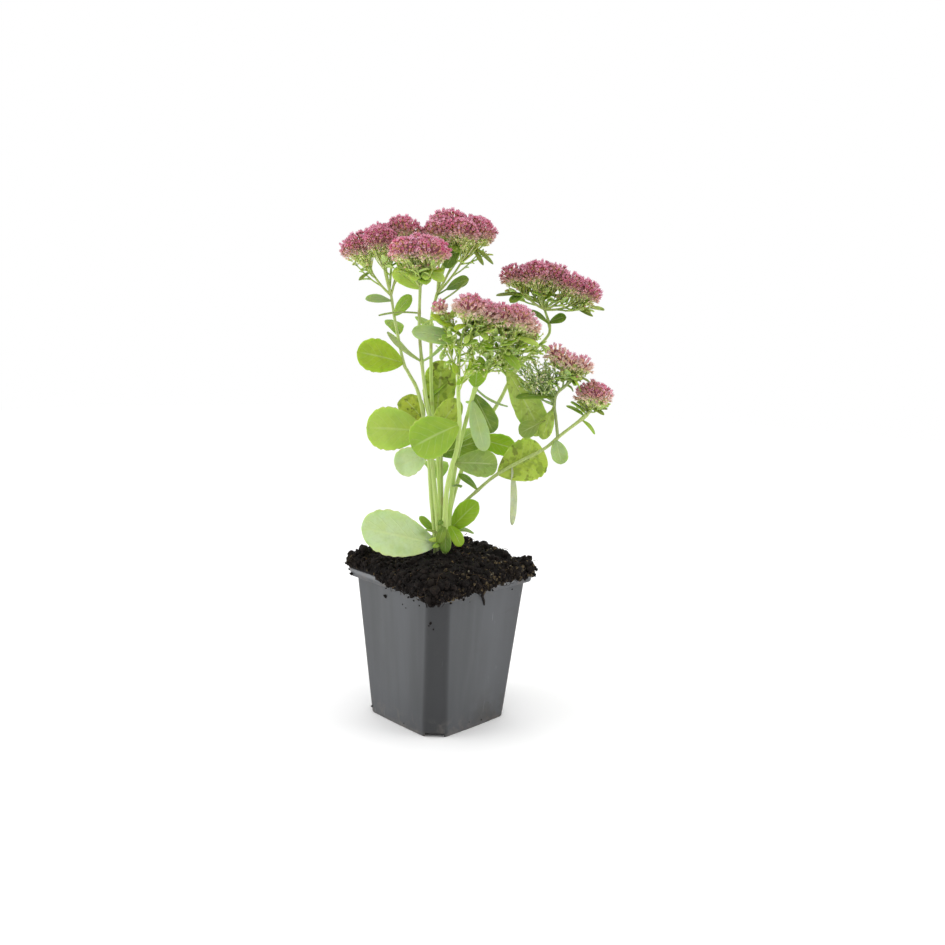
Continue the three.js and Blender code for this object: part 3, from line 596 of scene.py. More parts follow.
def tube(path, radius, sides=8):
    """A round skin along a path: each ring is the path's point plus radius times (cos a, sin a) in the
    plane across the path; both ends are closed by a point."""
    path = np.asarray(path, float)
    radius = np.broadcast_to(np.asarray(radius, float), len(path))
    ahead = units(np.gradient(path, axis=0))
    spare = np.eye(3)[np.argmin(np.abs(ahead).mean(0))]
    across = units(np.cross(ahead, spare))
    over = np.cross(ahead, across)
    a = round_angles(sides)[None, :, None]
    ring = np.cos(a) * across[:, None] + np.sin(a) * over[:, None]
    rings = path[:, None] + radius[:, None, None] * ring
    return lofted(rings, path[0] - ahead[0] * radius[0] * 0.5, path[-1] + ahead[-1] * radius[-1] * 0.5)


def join(patches):
    """Several skins as one, their points numbered one after the other."""
    first = np.cumsum([0] + [len(p["points"]) for p in patches[:-1]])
    names = patches[0]["fields"]
    return {
        "points": np.concatenate([p["points"] for p in patches]),
        "quads": np.concatenate([p["quads"] + k for p, k in zip(patches, first)]),
        "fans": np.concatenate([p["fans"] + k for p, k in zip(patches, first)]),
        "fields": {n: np.concatenate([p["fields"][n] for p in patches]) for n in names},
    }


def piece(name, skin, material, node):
    """Makes a skin, in metres, into a mesh with its fields, as a piece that stands for a node."""
    mesh = bpy.data.meshes.new(name)
    corners = np.concatenate([skin["quads"].ravel(), skin["fans"].ravel()]).astype(np.int32)
    sizes = np.repeat([4, 3], [len(skin["quads"]), len(skin["fans"])])
    starts = np.concatenate([[0], np.cumsum(sizes)[:-1]]).astype(np.int32)
    mesh.vertices.add(len(skin["points"]))
    mesh.vertices.foreach_set("co", skin["points"].astype(np.float32).ravel())
    mesh.loops.add(len(corners))
    mesh.loops.foreach_set("vertex_index", corners)
    mesh.polygons.add(len(sizes))
    mesh.polygons.foreach_set("loop_start", starts)
    for field, values in skin["fields"].items():
        kind, part = ("FLOAT_COLOR", "color") if values.shape[1] == 4 else ("FLOAT_VECTOR", "vector")
        layer = mesh.attributes.new(field, kind, "POINT")
        layer.data.foreach_set(part, values.astype(np.float32).ravel())
    mesh.update(calc_edges=True)
    mesh.validate()
    stand_in(name, mesh, material, node)


def compost_finish():
    """Peat: each crumb's own dark colour, mottled, with damp and dry patches."""
    f = Finish("peat_soil", {"Specular IOR Level": 0.22})
    dry = f.noise(0.011, detail=4).step(0.5, 0.75)
    speck = f.noise(0.0009, detail=3)
    colour = f.blend(speck.step(0.35, 0.7), f.field("tint"), "#080606")
    colour = f.blend(dry * 0.25, colour, "#32291f")
    relief = speck * 0.0005 + f.noise(0.0003, detail=2) * 0.0002
    return f.wear(colour, 0.84 + 0.14 * speck, relief)


# big clods that cling to the front corner: place in the plant's frame, and size
CORNER_CLODS = [
    ((-1.5, -59.6, 99.4), 3.2), ((-5.4, -61, 94), 2.1), ((2.8, -61, 94.6), 2.0), ((0.6, -60.8, 91.6), 1.4),
    ((-4.6, -60.6, 91), 1.1),
]


def clods(top, rng, count=16):
    """Big clods: on a spiral over the heap, drawn out to a square, and those at the front corner."""
    angle = 2.4 * np.arange(count)
    reach = 17 + 25 * np.sqrt(rng.random(count))
    square = 1 / np.maximum(np.abs(np.cos(angle)), np.abs(np.sin(angle)))
    out = np.minimum(reach * square, 50)
    x, y = out * np.cos(angle), out * np.sin(angle)
    away = (top[None, :, 0] - x[:, None]) ** 2 + (top[None, :, 1] - y[:, None]) ** 2
    on_heap = np.stack([x, y, top[np.argmin(away, axis=1), 2] + 0.4], 1) * MM
    places = np.concatenate([on_heap, lay([place for place, _ in CORNER_CLODS])])
    sizes = np.concatenate([2 + 2 * rng.random(count), [size for _, size in CORNER_CLODS]]) * MM
    lump = scatter(pebble(3, 0.4, 5), places, any_turn(rng, len(places)), sizes)
    return tinted(lump, linear("#1d1612") * (0.6 + 0.7 * rng.random((len(places), 1))))


def small_clods(top, rng, count=300):
    """Smaller clods that break up the outline, along the rim above all."""
    rim = np.clip(np.hypot(top[:, 0], top[:, 1]) / 30 - 0.6, 0.15, 1) * even_share(top)
    pick = rng.choice(len(top), count, p=rim / rim.sum())
    turn = any_turn(rng, count)
    sizes = (0.9 + 1.7 * rng.random(count) ** 1.5) * MM
    lump = scatter(pebble(2, 0.5, 6), (top[pick] + [0, 0, 0.5]) * MM, turn, sizes)
    return tinted(lump, linear("#1e1713") * (0.5 + 0.9 * rng.random((count, 1))))


def crumbs(top, edge, rng, count=3300, hanging=900):
    """Crumbs of every size all over, closer together outside the rim; more pale ones on the right."""
    pick = rng.choice(len(top), count, p=even_share(top))
    places = np.concatenate([top[pick], edge[rng.choice(len(edge), hanging)]])
    places = places * MM + rng.normal(0, 0.3 * MM, places.shape)
    sizes = (0.35 + 1.5 * rng.random(len(places)) ** 3) * MM
    lump = scatter(pebble(1, 0.5, 9), places, any_turn(rng, len(places)), sizes)
    depth, chance, pale = rng.random((3, len(places), 1))
    right = np.clip(across_plant(places / MM)[:, None] / 30, 0.15, 1)
    dark = linear("#241c17") * (0.3 + 1.3 * depth**2)
    return tinted(lump, np.where(chance < 0.3 * right, linear("#6a5c43") * (0.35 + 0.8 * pale), dark))


def chips(top, rng, count=110):
    """Chips of bark and a few pale grains, most of them on the right."""
    right = np.where(across_plant(top) > 4, 5.0, 1.0) * even_share(top)
    pick = rng.choice(len(top), count, p=right / right.sum())
    sizes = (0.5 + 0.8 * rng.random(count)) * MM
    flat = pebble(1, 0.4, 11)
    flat["points"] = flat["points"] * np.array([1.5, 0.8, 0.45])
    flakes = scatter(flat, top[pick] * MM + np.array([0, 0, 0.3 * MM]), any_turn(rng, count), sizes)
    shades = card("#75603f", "#54392a", "#857d6c", "#453630", "#9a917c")
    return tinted(flakes, shades[rng.choice(5, count, p=[0.3, 0.25, 0.15, 0.2, 0.1])])


def root_fibre(number, top, edge, rng):
    """A short arc that rises from the surface and comes back to it; one in three is over the rim."""
    over_rim = number % 3 == 0
    foot = edge[rng.integers(len(edge))] if over_rim else top[rng.choice(len(top), p=even_share(top))]
    way = unit(rng.normal(size=3) * ([1, 1, 1.4] if over_rim else [1, 1, 0.25]))
    length = rng.uniform(3, 7) if over_rim else rng.uniform(4, 12)
    bend = rng.normal(size=3) * 1.6
    lift = foot * [1, 1, 0] / np.hypot(*foot[:2]) if over_rim else np.array([0, 0, 1.6])
    t = np.linspace(0, 1, 7)[:, None]
    line = foot + way * length * (t - 0.5) + (bend + lift) * np.sin(np.pi * t)
    thin = rng.uniform(0.1, 0.26) * (1 - 0.6 * t.ravel())
    shade = ("#5f4c35", "#33261e", "#231a15", "#7b6a4e", "#2b211b")[number % 5]
    return tinted(tube(line * MM, thin * MM, 4), linear(shade))


def compost_skin():
    """The heap and what hangs outside the rim, with all that lies on them, as one skin."""
    rng = np.random.default_rng(7)
    heap, top = heap_skin()
    apron, edge = apron_skin()
    bodies = [tinted(heap, linear("#15100e")), tinted(apron, linear("#19130f"))]
    bodies += [clods(top, rng), small_clods(top, rng), crumbs(top, edge, rng), chips(top, rng)]
    bodies += [root_fibre(number, top, edge, rng) for number in range(150)]
    return join(bodies)


peat = compost_finish()
piece("compost", compost_skin(), peat, "soil")

# ----------------------------------------------------------------------- crumbs on the pot
# Specks of compost that stick to the outside of the wall and to the rim, one thick dark fibre that
# hangs over the rim on the right, and a few thin ones in front.


def wall_point(x, y, z, proud):
    """A point on the pot's outer wall at height z, straight out from the axis through (x, y) in the
    plant's frame: the distance at which the wall's outline, square with cut corners, is met."""
    t = min(z / POT_HEIGHT, 1)
    half = FOOT_HALF + (NECK_HALF - FOOT_HALF) * t
    leg = FOOT_LEG + (NECK_LEG - FOOT_LEG) * t
    if z > POT_HEIGHT - SKIRT_DROP:
        half, leg = RIM_HALF - 0.4, RIM_LEG
    a, b = [abs(part) for part in over_pot(x, y)]
    reach = min(half / max(a, b), (2 * half - leg) / (a + b)) * math.hypot(a, b)
    scale = (reach + proud) / math.hypot(x, y)
    return (x * scale, y * scale, z)


# direction in the plant's frame, height and size of each speck
SPECKS = [
    (-34, -26, 84.5, 1.5), (-22, -37, 83, 0.7), (-20, -39, 81.5, 0.6), (-3.2, -40, 76.5, 1.0),
    (-4, -40, 74.8, 0.5), (-1.8, -40, 72.6, 0.6), (-17, -38, 89, 0.9), (-13, -39, 88, 0.7),
    (-9, -40, 90.4, 1.2), (6, -40, 89.6, 1.0), (12, -38, 91, 0.9), (-44, -5, 92.5, 1.2),
    (-47, -2, 94.4, 1.0), (-30, -28, 91, 0.6), (30, -28, 92, 0.7), (-28, -22, 6, 0.5),
    (-20, -30, 3, 0.6), (22, -30, 5, 0.6), (27, -24, 9, 0.5), (33, -18, 14, 0.4), (30, -22, 3.4, 0.7),
    (-36, -6, 4, 0.8), (-9, -38, 86, 0.6), (17, -36, 87, 0.5), (40, -12, 88, 0.6),
]
# points along each fibre, the thick one first; those over 95 mm lie free, the others on the wall
STRANDS = [
    [(26, -38.6, 97.6), (27.4, -39.2, 96.4), (28.2, -39.3, 92), (29.4, -36.9, 88.5), (30.6, -35.6, 85.5),
     (31.6, -35.4, 82.6)],
    [(-24, -36, 94.6), (-21.5, -37, 92.4), (-18, -38, 91.9), (-15.5, -38, 92.8), (-13, -39, 91.2)],
    [(-17, -38, 94.4), (-14, -38.6, 90.2), (-11.6, -39, 90.6), (-9.6, -39.4, 89)],
    [(-8, -40, 94.6), (-7.4, -40, 91), (-5.6, -40, 89.4), (-5, -40, 86.4)],
    [(-2.4, -40, 94.2), (-2, -40, 90.6), (-3.4, -40, 88.4), (-2.8, -40, 86.8)],
]


def dirt_skin():
    """The specks, turned at random, and the fibres, thinner at both ends, as one skin."""
    places = lay([wall_point(x, y, z, size * 0.3) for x, y, z, size in SPECKS])
    sizes = np.array([size for *_, size in SPECKS]) * MM
    turn = any_turn(np.random.default_rng(21), len(SPECKS))
    bodies = [tinted(scatter(pebble(2, 0.45, 3), places, turn, sizes), linear("#1d1714"))]
    for n, strand in enumerate(STRANDS):
        proud, thin = (0.9, MM) if n == 0 else (0.3, MM / 2)
        line = [wall_point(x, y, z, proud) if z < 95 else (x, y, z) for x, y, z in strand]
        share = np.linspace(0, 1, len(line))
        radius = np.interp(share, [0, 0.4, 0.8, 1], [0.5, 0.8, 0.8, 0.4]) * thin
        bodies.append(tinted(tube(lay(line), radius, 6), linear("#2b2622")))
    return join(bodies)


piece("pot_dirt", dirt_skin(), peat, "soil")

# ------------------------------------------------------------------------------------ stalks
# Seven fleshy stems from one crown, as thick as a pencil lead at the foot: round, pale yellow-green,
# a little swollen where leaves leave them. The low one on the right carries a side branch.

STEM_FOOT = 86         # height of the roots' crown in the compost
PAINTED_SHADE_TO = 118        # painted shade darkens the stems up to this height
STALK_SIDES = 12
JOINT_SWELL = 0.16     # how much thicker a stem is where a leaf leaves it
JOINT_REACH = 2.2
# foot, radius at the foot and at the fork, and the stem's way up
STEMS = {
    "left": ((-4, -0.6), (1.9, 0.8), [
        (-7.5, 0, 141), (-10.5, 2, 172), (-17, 4, 206), (-24, 5, 220), (-27.5, 5, 227), (-33, 6, 251),
        (-36, 6, 268),
    ]),
    "front_left": ((-1.7, -5.2), (1.9, 0.85), [
        (-4.4, -8, 142), (-8, -10, 174), (-9, -10, 193), (-12, -12, 207), (-15, -14, 229), (-17, -15, 250),
        (-17, -15, 274),
    ]),
    "top": ((-0.7, 4), (1.9, 0.9), [
        (-2.4, 8, 139), (-5, 12, 171), (-9.5, 16, 202), (-11, 18, 234), (-11.2, 20, 255), (-8, 21, 270),
    ]),
    "front": ((2, -8.4), (2.1, 1.0), [
        (2, -14, 144), (4, -16, 160), (8, -18, 178), (9, -20, 195), (7.8, -22, 211), (7.6, -25, 237),
        (9, -26, 246),
    ]),
    "right": ((3.3, -2.9), (1.9, 1.0), [
        (5, -5.6, 142), (7.6, -8, 168), (13, -10, 194), (19, -14, 217), (26, -16, 227), (34, -19, 240),
    ]),
    "low_right": ((3.9, 1.9), (1.05, 1.0), [
        (6.4, 2, 128), (11, 1, 137), (20.5, 0, 147), (32, -2, 158), (47, -4, 168), (62, -6, 177),
        (72, -6, 186), (85, -6, 197), (88.5, -6.5, 201),
    ]),
    "back_right": ((2.4, 7.4), (1.9, 0.8), [
        (5.5, 16, 138), (16, 24, 170), (34, 30, 202), (41, 32, 217), (52, 30, 232), (62, 28, 243),
        (64, 25, 250), (60, 24, 262),
    ]),
}
# a short shoot that has lost its leaves, beside the front left stem
SPENT_SHOOT = [(0, -3, 84), (0.4, -4, 112), (-0.8, -4.5, 142), (-2, -5, 172), (-3, -7, 184)]
# the side branch of the low right stem
SIDE_BRANCH = [
    (70, -6, 184), (68.6, -5.4, 194), (67, -5, 204), (68, -5, 211), (73.5, -6.5, 217), (77, -7.5, 221),
]
SIDE_THICK = (1.05, 0.75)


def flowing(points, samples=9):
    """A Catmull-Rom curve through the points: on each span, the cubic whose slope at a point is half
    the step from the point before it to the point after it."""
    p = np.asarray(points, float)
    p = np.concatenate([[2 * p[0] - p[1]], p, [2 * p[-1] - p[-2]]])
    t = np.linspace(0, 1, samples, endpoint=False)[None, :, None]
    a, b, c, d = p[:-3, None], p[1:-2, None], p[2:-1, None], p[3:, None]
    square, cube = 2 * a - 5 * b + 4 * c - d, 3 * b - a - 3 * c + d
    curve = 0.5 * (2 * b + (c - a) * t + square * t**2 + cube * t**3)
    return np.concatenate([curve.reshape(-1, 3), [p[-2]]])


def at_height(line, z):
    """The first point of a rising line at height z."""
    j = max(1, int(np.argmax(line[:, 2] >= z)))
    low, high = line[j - 1], line[j]
    return low + (high - low) * (z - low[2]) / (high[2] - low[2])


paths = {}
for name, (foot, _, route) in STEMS.items():
    paths[name] = flowing([(*foot, z) for z in (STEM_FOOT, 100, 112)] + route)
paths["side"] = flowing(SIDE_BRANCH)


def stalk_finish():
    """Green skin with faint lengthwise lines, paler and redder in patches, and a waxy gloss."""
    glow = {"Subsurface Weight": 0.25, "Subsurface Scale": 0.0015, "Subsurface Radius": (0.7, 1.0, 0.3)}
    f = Finish("stalk", glow)
    lines = f.noise(0.0006, f.place((1, 1, 0.08)), 2)
    patch = f.noise(0.009, detail=3)
    colour = f.blend(lines.step(0.35, 0.7) * 0.5, f.field("tint"), "#c9d98c")
    colour = f.blend(patch.step(0.58, 0.75) * 0.35, colour, "#8d6a4a")
    relief = lines * 0.00008 + f.noise(0.0012, detail=2) * 0.00006
    return f.wear(colour, 0.38 + 0.2 * patch, relief)


def stalk_skin(path, thick, joints, low, high):
    """A tube whose radius goes from foot to fork with the power 0.7 of the way along, and swells in a
    bell curve at each joint. Its colour goes from low to high, under painted shade, a dark olive, at the
    foot."""
    t = np.linspace(0, 1, len(path))
    radius = thick[0] + (thick[1] - thick[0]) * t**0.7
    for z in joints:
        radius = radius * (1 + JOINT_SWELL * np.exp(-(((path[:, 2] - z) / JOINT_REACH) ** 2)))
    wobble = 0.03 * np.sin(np.arange(len(path)) * 1.7)
    skin = tube(path, radius * (1 + wobble), STALK_SIDES)
    share = np.concatenate([np.repeat(t, STALK_SIDES), [0, 1]])[:, None]
    # painted shade: dark olive at the foot of the stem, fading out upwards
    foot_shade = np.clip((PAINTED_SHADE_TO - skin["points"][:, 2:]) / 9, 0, 1)
    return tinted(skin, between(low, high, share) * (1 - foot_shade) + linear("#4c5627") * foot_shade)


# ------------------------------------------------------------------------------------ leaves
# Fleshy grey-green blades, egg-shaped with a blunt tip and shallow rounded teeth, in twos and threes
# up each stem. The underside is paler and has a waxy bloom; old leaves are spotted.

# colour of the side that shows, how spotted, how much paler the other side is, and the share of the
# length that is a narrow neck
LOOKS = {
    "pale": ("#c8dca8", 0.0, 0.2, 0.1),
    "silver": ("#a6bd82", 0.0, 0.35, 0.0),
    "light": ("#b6d05e", 0.0, 0.6, 0.0),
    "bright": ("#8ab021", 0.0, 0.8, 0.0),
    "fresh": ("#a8c431", 0.2, 0.7, 0.0),
    "mid": ("#89ab39", 0.0, 0.8, 0.0),
    "yellow": ("#aebb3e", 1.0, 0.6, 0.0),
    "spotted": ("#a5b948", 1.0, 0.6, 0.0),
    "mottled": ("#a9bf58", 0.5, 0.5, 0.16),
    "olive": ("#b3c750", 0.75, 0.6, 0.0),
    "dark": ("#64842a", 0.0, 0.7, 0.0),
    "dull": ("#7c8b42", 0.0, 0.3, 0.0),
    "disc": ("#7d8b47", 0.0, 0.3, 0.45),
    "stalked": ("#6c8a45", 0.0, 0.3, 0.32),
    "blue": ("#8fa75c", 0.3, 0.5, 0.0),
    "dry": ("#b9bfa0", 0.1, 0.2, 0.0),
}

# height where each leaf leaves the stem, tip, width, the way its upper side faces, arch, look
LEAVES = {
    "front": [
        (113, (-48.5, -33, 129), 29, (-0.1, -0.85, 0.5), 1.5, "pale"),
        (192, (-19, -27, 178), 26, (0, -0.9, 0.4), 2.5, "mid"),
        (168, (33, -12, 167), 17, (0, -0.9, 0.3), 2, "blue"),
        (242, (-20, -35, 248), 12, (-0.1, -0.8, 0.5), 1.5, "silver"),
        (246, (-9, -35, 258), 7, (-0.2, -0.6, 0.7), 1, "fresh"),
        (240, (18, -40, 243), 7, (0, -0.6, 0.8), 1, "mid"),
        # sprouts at the crown
        (128, (-1.5, -15.5, 116.5), 6, (-0.2, -0.9, 0.3), 1, "dark"),
        (120, (-10, -17.5, 125.5), 2.6, (0, -0.5, 0.8), 0.5, "dull"),
        (118, (-8, -18, 119), 3, (0.2, -0.9, 0.3), 0.6, "light"),
        (116, (-5, -18.5, 115), 3.2, (0, -0.9, 0.3), 0.5, "mid"),
        (131, (-2.5, -13, 128), 3.6, (-0.4, -0.8, 0.5), 0.5, "dark"),
        (127, (2.6, -15.2, 110.5), 7.5, (0.1, -0.95, 0.2), 0.8, "dark"),
    ],
    "left": [
        (119, (-15, 2, 129), 6, (-0.3, -0.4, 0.9), 1, "mid"),
        (184, (-49, -4, 186), 27, (0.1, -0.95, 0.25), 2, "light"),
        (190, (-28, 10, 204), 16, (0.2, -0.9, 0.4), 2, "yellow"),
        (226, (-55, -5, 233), 21, (0, -0.95, 0.3), 2, "fresh"),
        (264, (-51, 0, 265), 7, (0, -0.7, 0.7), 1, "silver"),
        (255, (-23, -3, 268), 8, (0.2, -0.9, 0.4), 1, "mid"),
        (243, (-37, 22, 251), 12, (0, 0.3, 0.9), 1, "mid"),
    ],
    "front_left": [
        (174, (-29, -16, 163), 18, (-0.1, -0.9, 0.3), 2, "pale"),
        (182, (8, -9, 206), 15, (0, -0.95, 0.2), 1.5, "olive"),
        (229, (-35, -24, 247), 9, (0.4, 0.4, 0.8), -2, "dull"),
        (229, (1, -20, 243), 7, (-0.5, 0.3, 0.8), -1.5, "mid"),
        (258, (-42, -9, 256), 5, (0, 0.1, 1), 1, "dull"),
        (272, (-33, -9, 284), 12, (-0.2, -0.8, 0.5), 1, "light"),
        (249, (-6, -27, 256), 5, (0, -0.4, 0.9), 1, "fresh"),
    ],
    "top": [
        (183, (-4, 27, 227), 21, (0, -0.9, 0.4), 2, "spotted"),
        (168, (21, 13, 177), 15, (0, -0.9, 0.3), 1.5, "dark"),
        (262, (11, 9, 278), 5, (0, -0.3, 0.9), -1, "dull"),
        (268, (11.5, 13, 279), 8.5, (0, -0.8, 0.6), 1, "stalked"),
        (152, (-8, 33, 160), 16, (0, 0.3, 0.9), 2, "mid"),
        (205, (2, 42, 217), 19, (0, 0.3, 0.9), 2.5, "bright"),
        (245, (-20, 34, 253), 12, (0, 0.3, 0.9), 1, "mid"),
    ],
    "right": [
        (126, (12.2, -10.5, 114), 8.5, (0.3, -0.85, 0.4), 1.5, "bright"),
        (151, (11, -15, 153), 5, (0.3, -0.5, 0.8), 1, "dark"),
        (214, (19, -21, 232), 13, (0, -0.95, 0.2), 1.5, "bright"),
        (207, (25, -22, 177), 11, (0, -1, 0), 1.5, "silver"),
        (211, (30, -3, 186), 13, (0, -1, 0.1), 1.5, "dark"),
        (214, (38, -10, 203), 6, (0, 0.2, 1), -2, "dark"),
        (235, (61.5, 1, 184), 18, (0.1, -0.97, 0.15), 1.5, "mottled"),
        (237, (43, -33, 228), 7, (0.2, -0.6, 0.7), 1.5, "mid"),
        (231, (12, -6, 242), 7, (0, -0.7, 0.7), 1, "fresh"),
        (236, (24, -33, 239), 7, (0, -0.4, 0.9), 1.5, "bright"),
        (234, (46, -6, 236), 8, (0, -0.5, 0.8), 1.5, "mid"),
        (180, (25, 6, 186), 15, (0.2, 0.2, 0.9), 1.5, "mid"),
    ],
    "low_right": [
        (121, (22, -8, 142), 14, (-0.3, -0.95, 0.3), 2, "bright"),
        (148, (9, -1.5, 158), 6, (0, -0.6, 0.8), 1.5, "dark"),
        (159, (63, 7, 173), 27, (0, -0.95, 0.2), 2.5, "olive"),
        (183, (72, -15, 169), 11, (0.2, -1, 0), 1, "silver"),
        (165, (43, 3, 126), 6.5, (0.7, -0.7, 0), 2, "dry"),
        (196, (93, -4, 187), 4, (0, -0.5, 0.8), 1, "mid"),
        (199, (76, -13, 207), 5, (0, -0.5, 0.8), 1, "mid"),
        (198, (75, 1, 203), 4, (0, -0.4, 0.9), 1, "mid"),
    ],
    "side": [
        (198, (45.5, -14, 187), 11, (0, -0.95, 0.2), 1.5, "disc"),
        (205, (60, -12, 184), 9, (-0.3, -1, 0), 1, "mottled"),
        (209, (43, -19, 210), 6.5, (0, -0.6, 0.8), 1, "dark"),
        (217, (78, -5, 213), 4, (0, -0.4, 0.9), 1, "mid"),
        (214, (62, -14, 219), 6, (0, -0.5, 0.8), 1, "mid"),
    ],
    "back_right": [
        (118, (20, 19, 116), 7, (0, -0.3, 1), 2, "dark"),
        (177, (45, 26, 171), 14, (0, -0.9, 0.3), 1.5, "bright"),
        (252, (51, 14, 261), 4.5, (0, -0.8, 0.6), 1, "dark"),
        (253, (74, 22, 257), 8, (0, -0.7, 0.7), 1, "dark"),
        (160, (27, 43, 167), 17, (0.2, 0.3, 0.9), 2, "mid"),
        (191, (15, 45, 198), 17, (-0.2, 0.3, 0.9), 2, "bright"),
        (220, (38, 49, 231), 15, (0, 0.3, 0.9), 2, "mid"),
    ],
}


def leaf(root, tip, width, facing, arch, look, seed=0):
    """A blade as a closed tube pressed flat. Along it, s goes from the stalk to the tip and b from the
    neck to the tip: the half-width goes as b^0.8 (1 - b)^0.45, broadest past the middle, and has
    teeth. Round it, an angle a gives the place across, cos a, and the thickness, sin a. The middle
    line arches by sin(pi s), the blade is cupped by the square of the place across, and its margin
    waves."""
    # a finer mesh for a broader blade
    rows, around = (34, 24) if width > 15 else (22, 16) if width > 8 else (12, 10)
    root, tip = np.asarray(root, float), np.asarray(tip, float)
    along = tip - root
    length = np.linalg.norm(along)
    normal = unit(facing)
    normal = unit(normal - unit(along) * normal.dot(unit(along)))
    side = np.cross(normal, unit(along))
    rng = np.random.default_rng(int(seed * 7 + width * 13 + length * 5))
    phase, curl, twist = rng.uniform(0, 6.3), rng.uniform(-0.04, 0.05), rng.uniform(-0.12, 0.12)

    s = 0.5 - 0.5 * np.cos(np.pi * np.linspace(0.02, 0.99, rows))
    colour, spots, paler, neck = LOOKS[look]
    b = np.clip((s - neck) / (1 - neck), 0, 1)
    broadest = 0.442       # the greatest value of b^0.8 (1 - b)^0.45
    half = np.maximum(0.02 * width + 0.35, width / 2 * b**0.8 * (1 - b) ** 0.45 / broadest)
    teeth = max(4, round(width / 3.1))
    bite = (0.05 + 0.001 * width) * np.clip((s - 0.3) / 0.2, 0, 1) * (width > 7.5)
    edge = 1 + bite * (np.abs(np.sin(np.pi * teeth * s + phase)) ** 0.8 - 0.55)

    a = round_angles(around)
    across, thick = np.cos(a)[None], np.sin(a)[None]
    sided = np.abs(across) ** 6
    spread = half[:, None] * across * (1 + (edge[:, None] - 1) * sided)
    plump = (0.35 + 0.5 * (1 - 0.4 * s[:, None]) * (1 - across**2)) * min(1, 0.55 + width / 30)
    wave = 0.05 * half[:, None] * across**2 * np.sin(phase + 9 * s[:, None] + np.sign(across) * 1.3)
    rise_up = 0.12 * half[:, None] * across**2 + wave + twist * spread * s[:, None] + thick * plump
    bow = arch * np.sin(np.pi * s) + curl * length * s**3
    centre = root + along * s[:, None] + normal * bow[:, None]
    rings = centre[:, None] + side * spread[..., None] + normal * rise_up[..., None]
    skin = lofted(rings, rings[0].mean(0), rings[-1].mean(0) + along / length * 0.25)

    place = np.stack(np.broadcast_arrays(s[:, None], across, thick), -1).reshape(-1, 3)
    skin["fields"]["blade"] = np.concatenate([place, [[0, 0, 0], [1, 0, 0]]])
    tinted(skin, linear(colour) * rng.uniform(0.93, 1.07))
    skin["fields"]["marks"] = np.tile([spots, paler, rng.uniform(0, 1)], (len(skin["points"]), 1))
    return skin


def leaf_finish():
    """Leaf skin: a pale midrib, side veins that sweep forward to the margin, a yellower edge, cloudy
    mottling, brown spots on old leaves, a paler underside, and a waxy satin gloss."""
    glow = {"Subsurface Weight": 0.35, "Subsurface Scale": 0.0015, "Subsurface Radius": (0.6, 1.0, 0.2)}
    f = Finish("foliage", {**glow, "Specular IOR Level": 0.25})
    along, across, face = [f.field("blade", k) for k in range(3)]
    spotted, paler, draw = [f.field("marks", k) for k in range(3)]
    # midrib and side veins, by the distance off the middle line
    off = across.math("ABSOLUTE", across)
    rib = off.step(0.09, 0.015) * along.step(1.0, 0.75)
    wave = along * 41 - off * 13 + f.noise(0.006) * 2.9
    vein = wave.math("SINE", wave).step(0.8, 1.0) * off.step(1.0, 0.55) * off.step(0.0, 0.12)
    # mottling of three sizes
    cloud = f.noise(0.009, detail=4)
    fine = f.noise(0.0016, detail=3)
    broad = f.noise(0.017, detail=2)
    colour = f.blend(cloud.step(0.35, 0.7) * 0.3, f.field("tint"), "#b4c843")
    colour = f.blend(broad.step(0.5, 0.72) * (0.15 + 0.3 * draw), colour, "#7d9f3c")
    colour = f.blend(fine.step(0.4, 0.75) * 0.09, colour, "#5f7f2c")
    under = f.blend(0.5, colour, "#c4d5a6")
    colour = f.blend(face.step(0.05, -0.05) * paler, colour, under)
    colour = f.blend(rib * 0.34 + vein * 0.12, colour, "#cfdc9a")
    colour = f.blend(off.step(0.9, 1.0) * 0.3, colour, "#c2cf76")
    # old leaves: dapples, brown blotches and a brown margin
    dapple = f.noise(0.0046, detail=3).step(0.47, 0.62) * spotted
    colour = f.blend(dapple * 0.62, colour, "#5f7a1a")
    blotch = f.noise(0.0042, detail=3, distortion=0.3).step(0.57, 0.66) * spotted
    colour = f.blend(blotch * 0.7, colour, "#4f4b17")
    margin = off.step(0.75, 1.0) * cloud.step(0.4, 0.6) * spotted
    colour = f.blend(margin * 0.5, colour, "#7c7a2e")
    relief = vein * -0.0001 + rib * -0.00018 + fine * 0.0001
    rough = 0.44 + 0.16 * cloud + 0.1 * blotch
    return f.wear(colour, rough, relief)


leaf_material = leaf_finish()
stalk_material = stalk_finish()


def set_up(skin):
    """Puts a skin laid out in the plant's frame onto the pot, in metres."""
    skin["points"] = lay(skin["points"])
    return skin


# ----------------------------------------------------------------------------- flower heads
# Flat-topped heads of small domed clusters. Each cluster is fed by one branch that spreads into
# fine stalks, and is covered by starry florets: a green cup, five pink petals that darken to wine
# red at the tip, and five dark carpels in the middle.

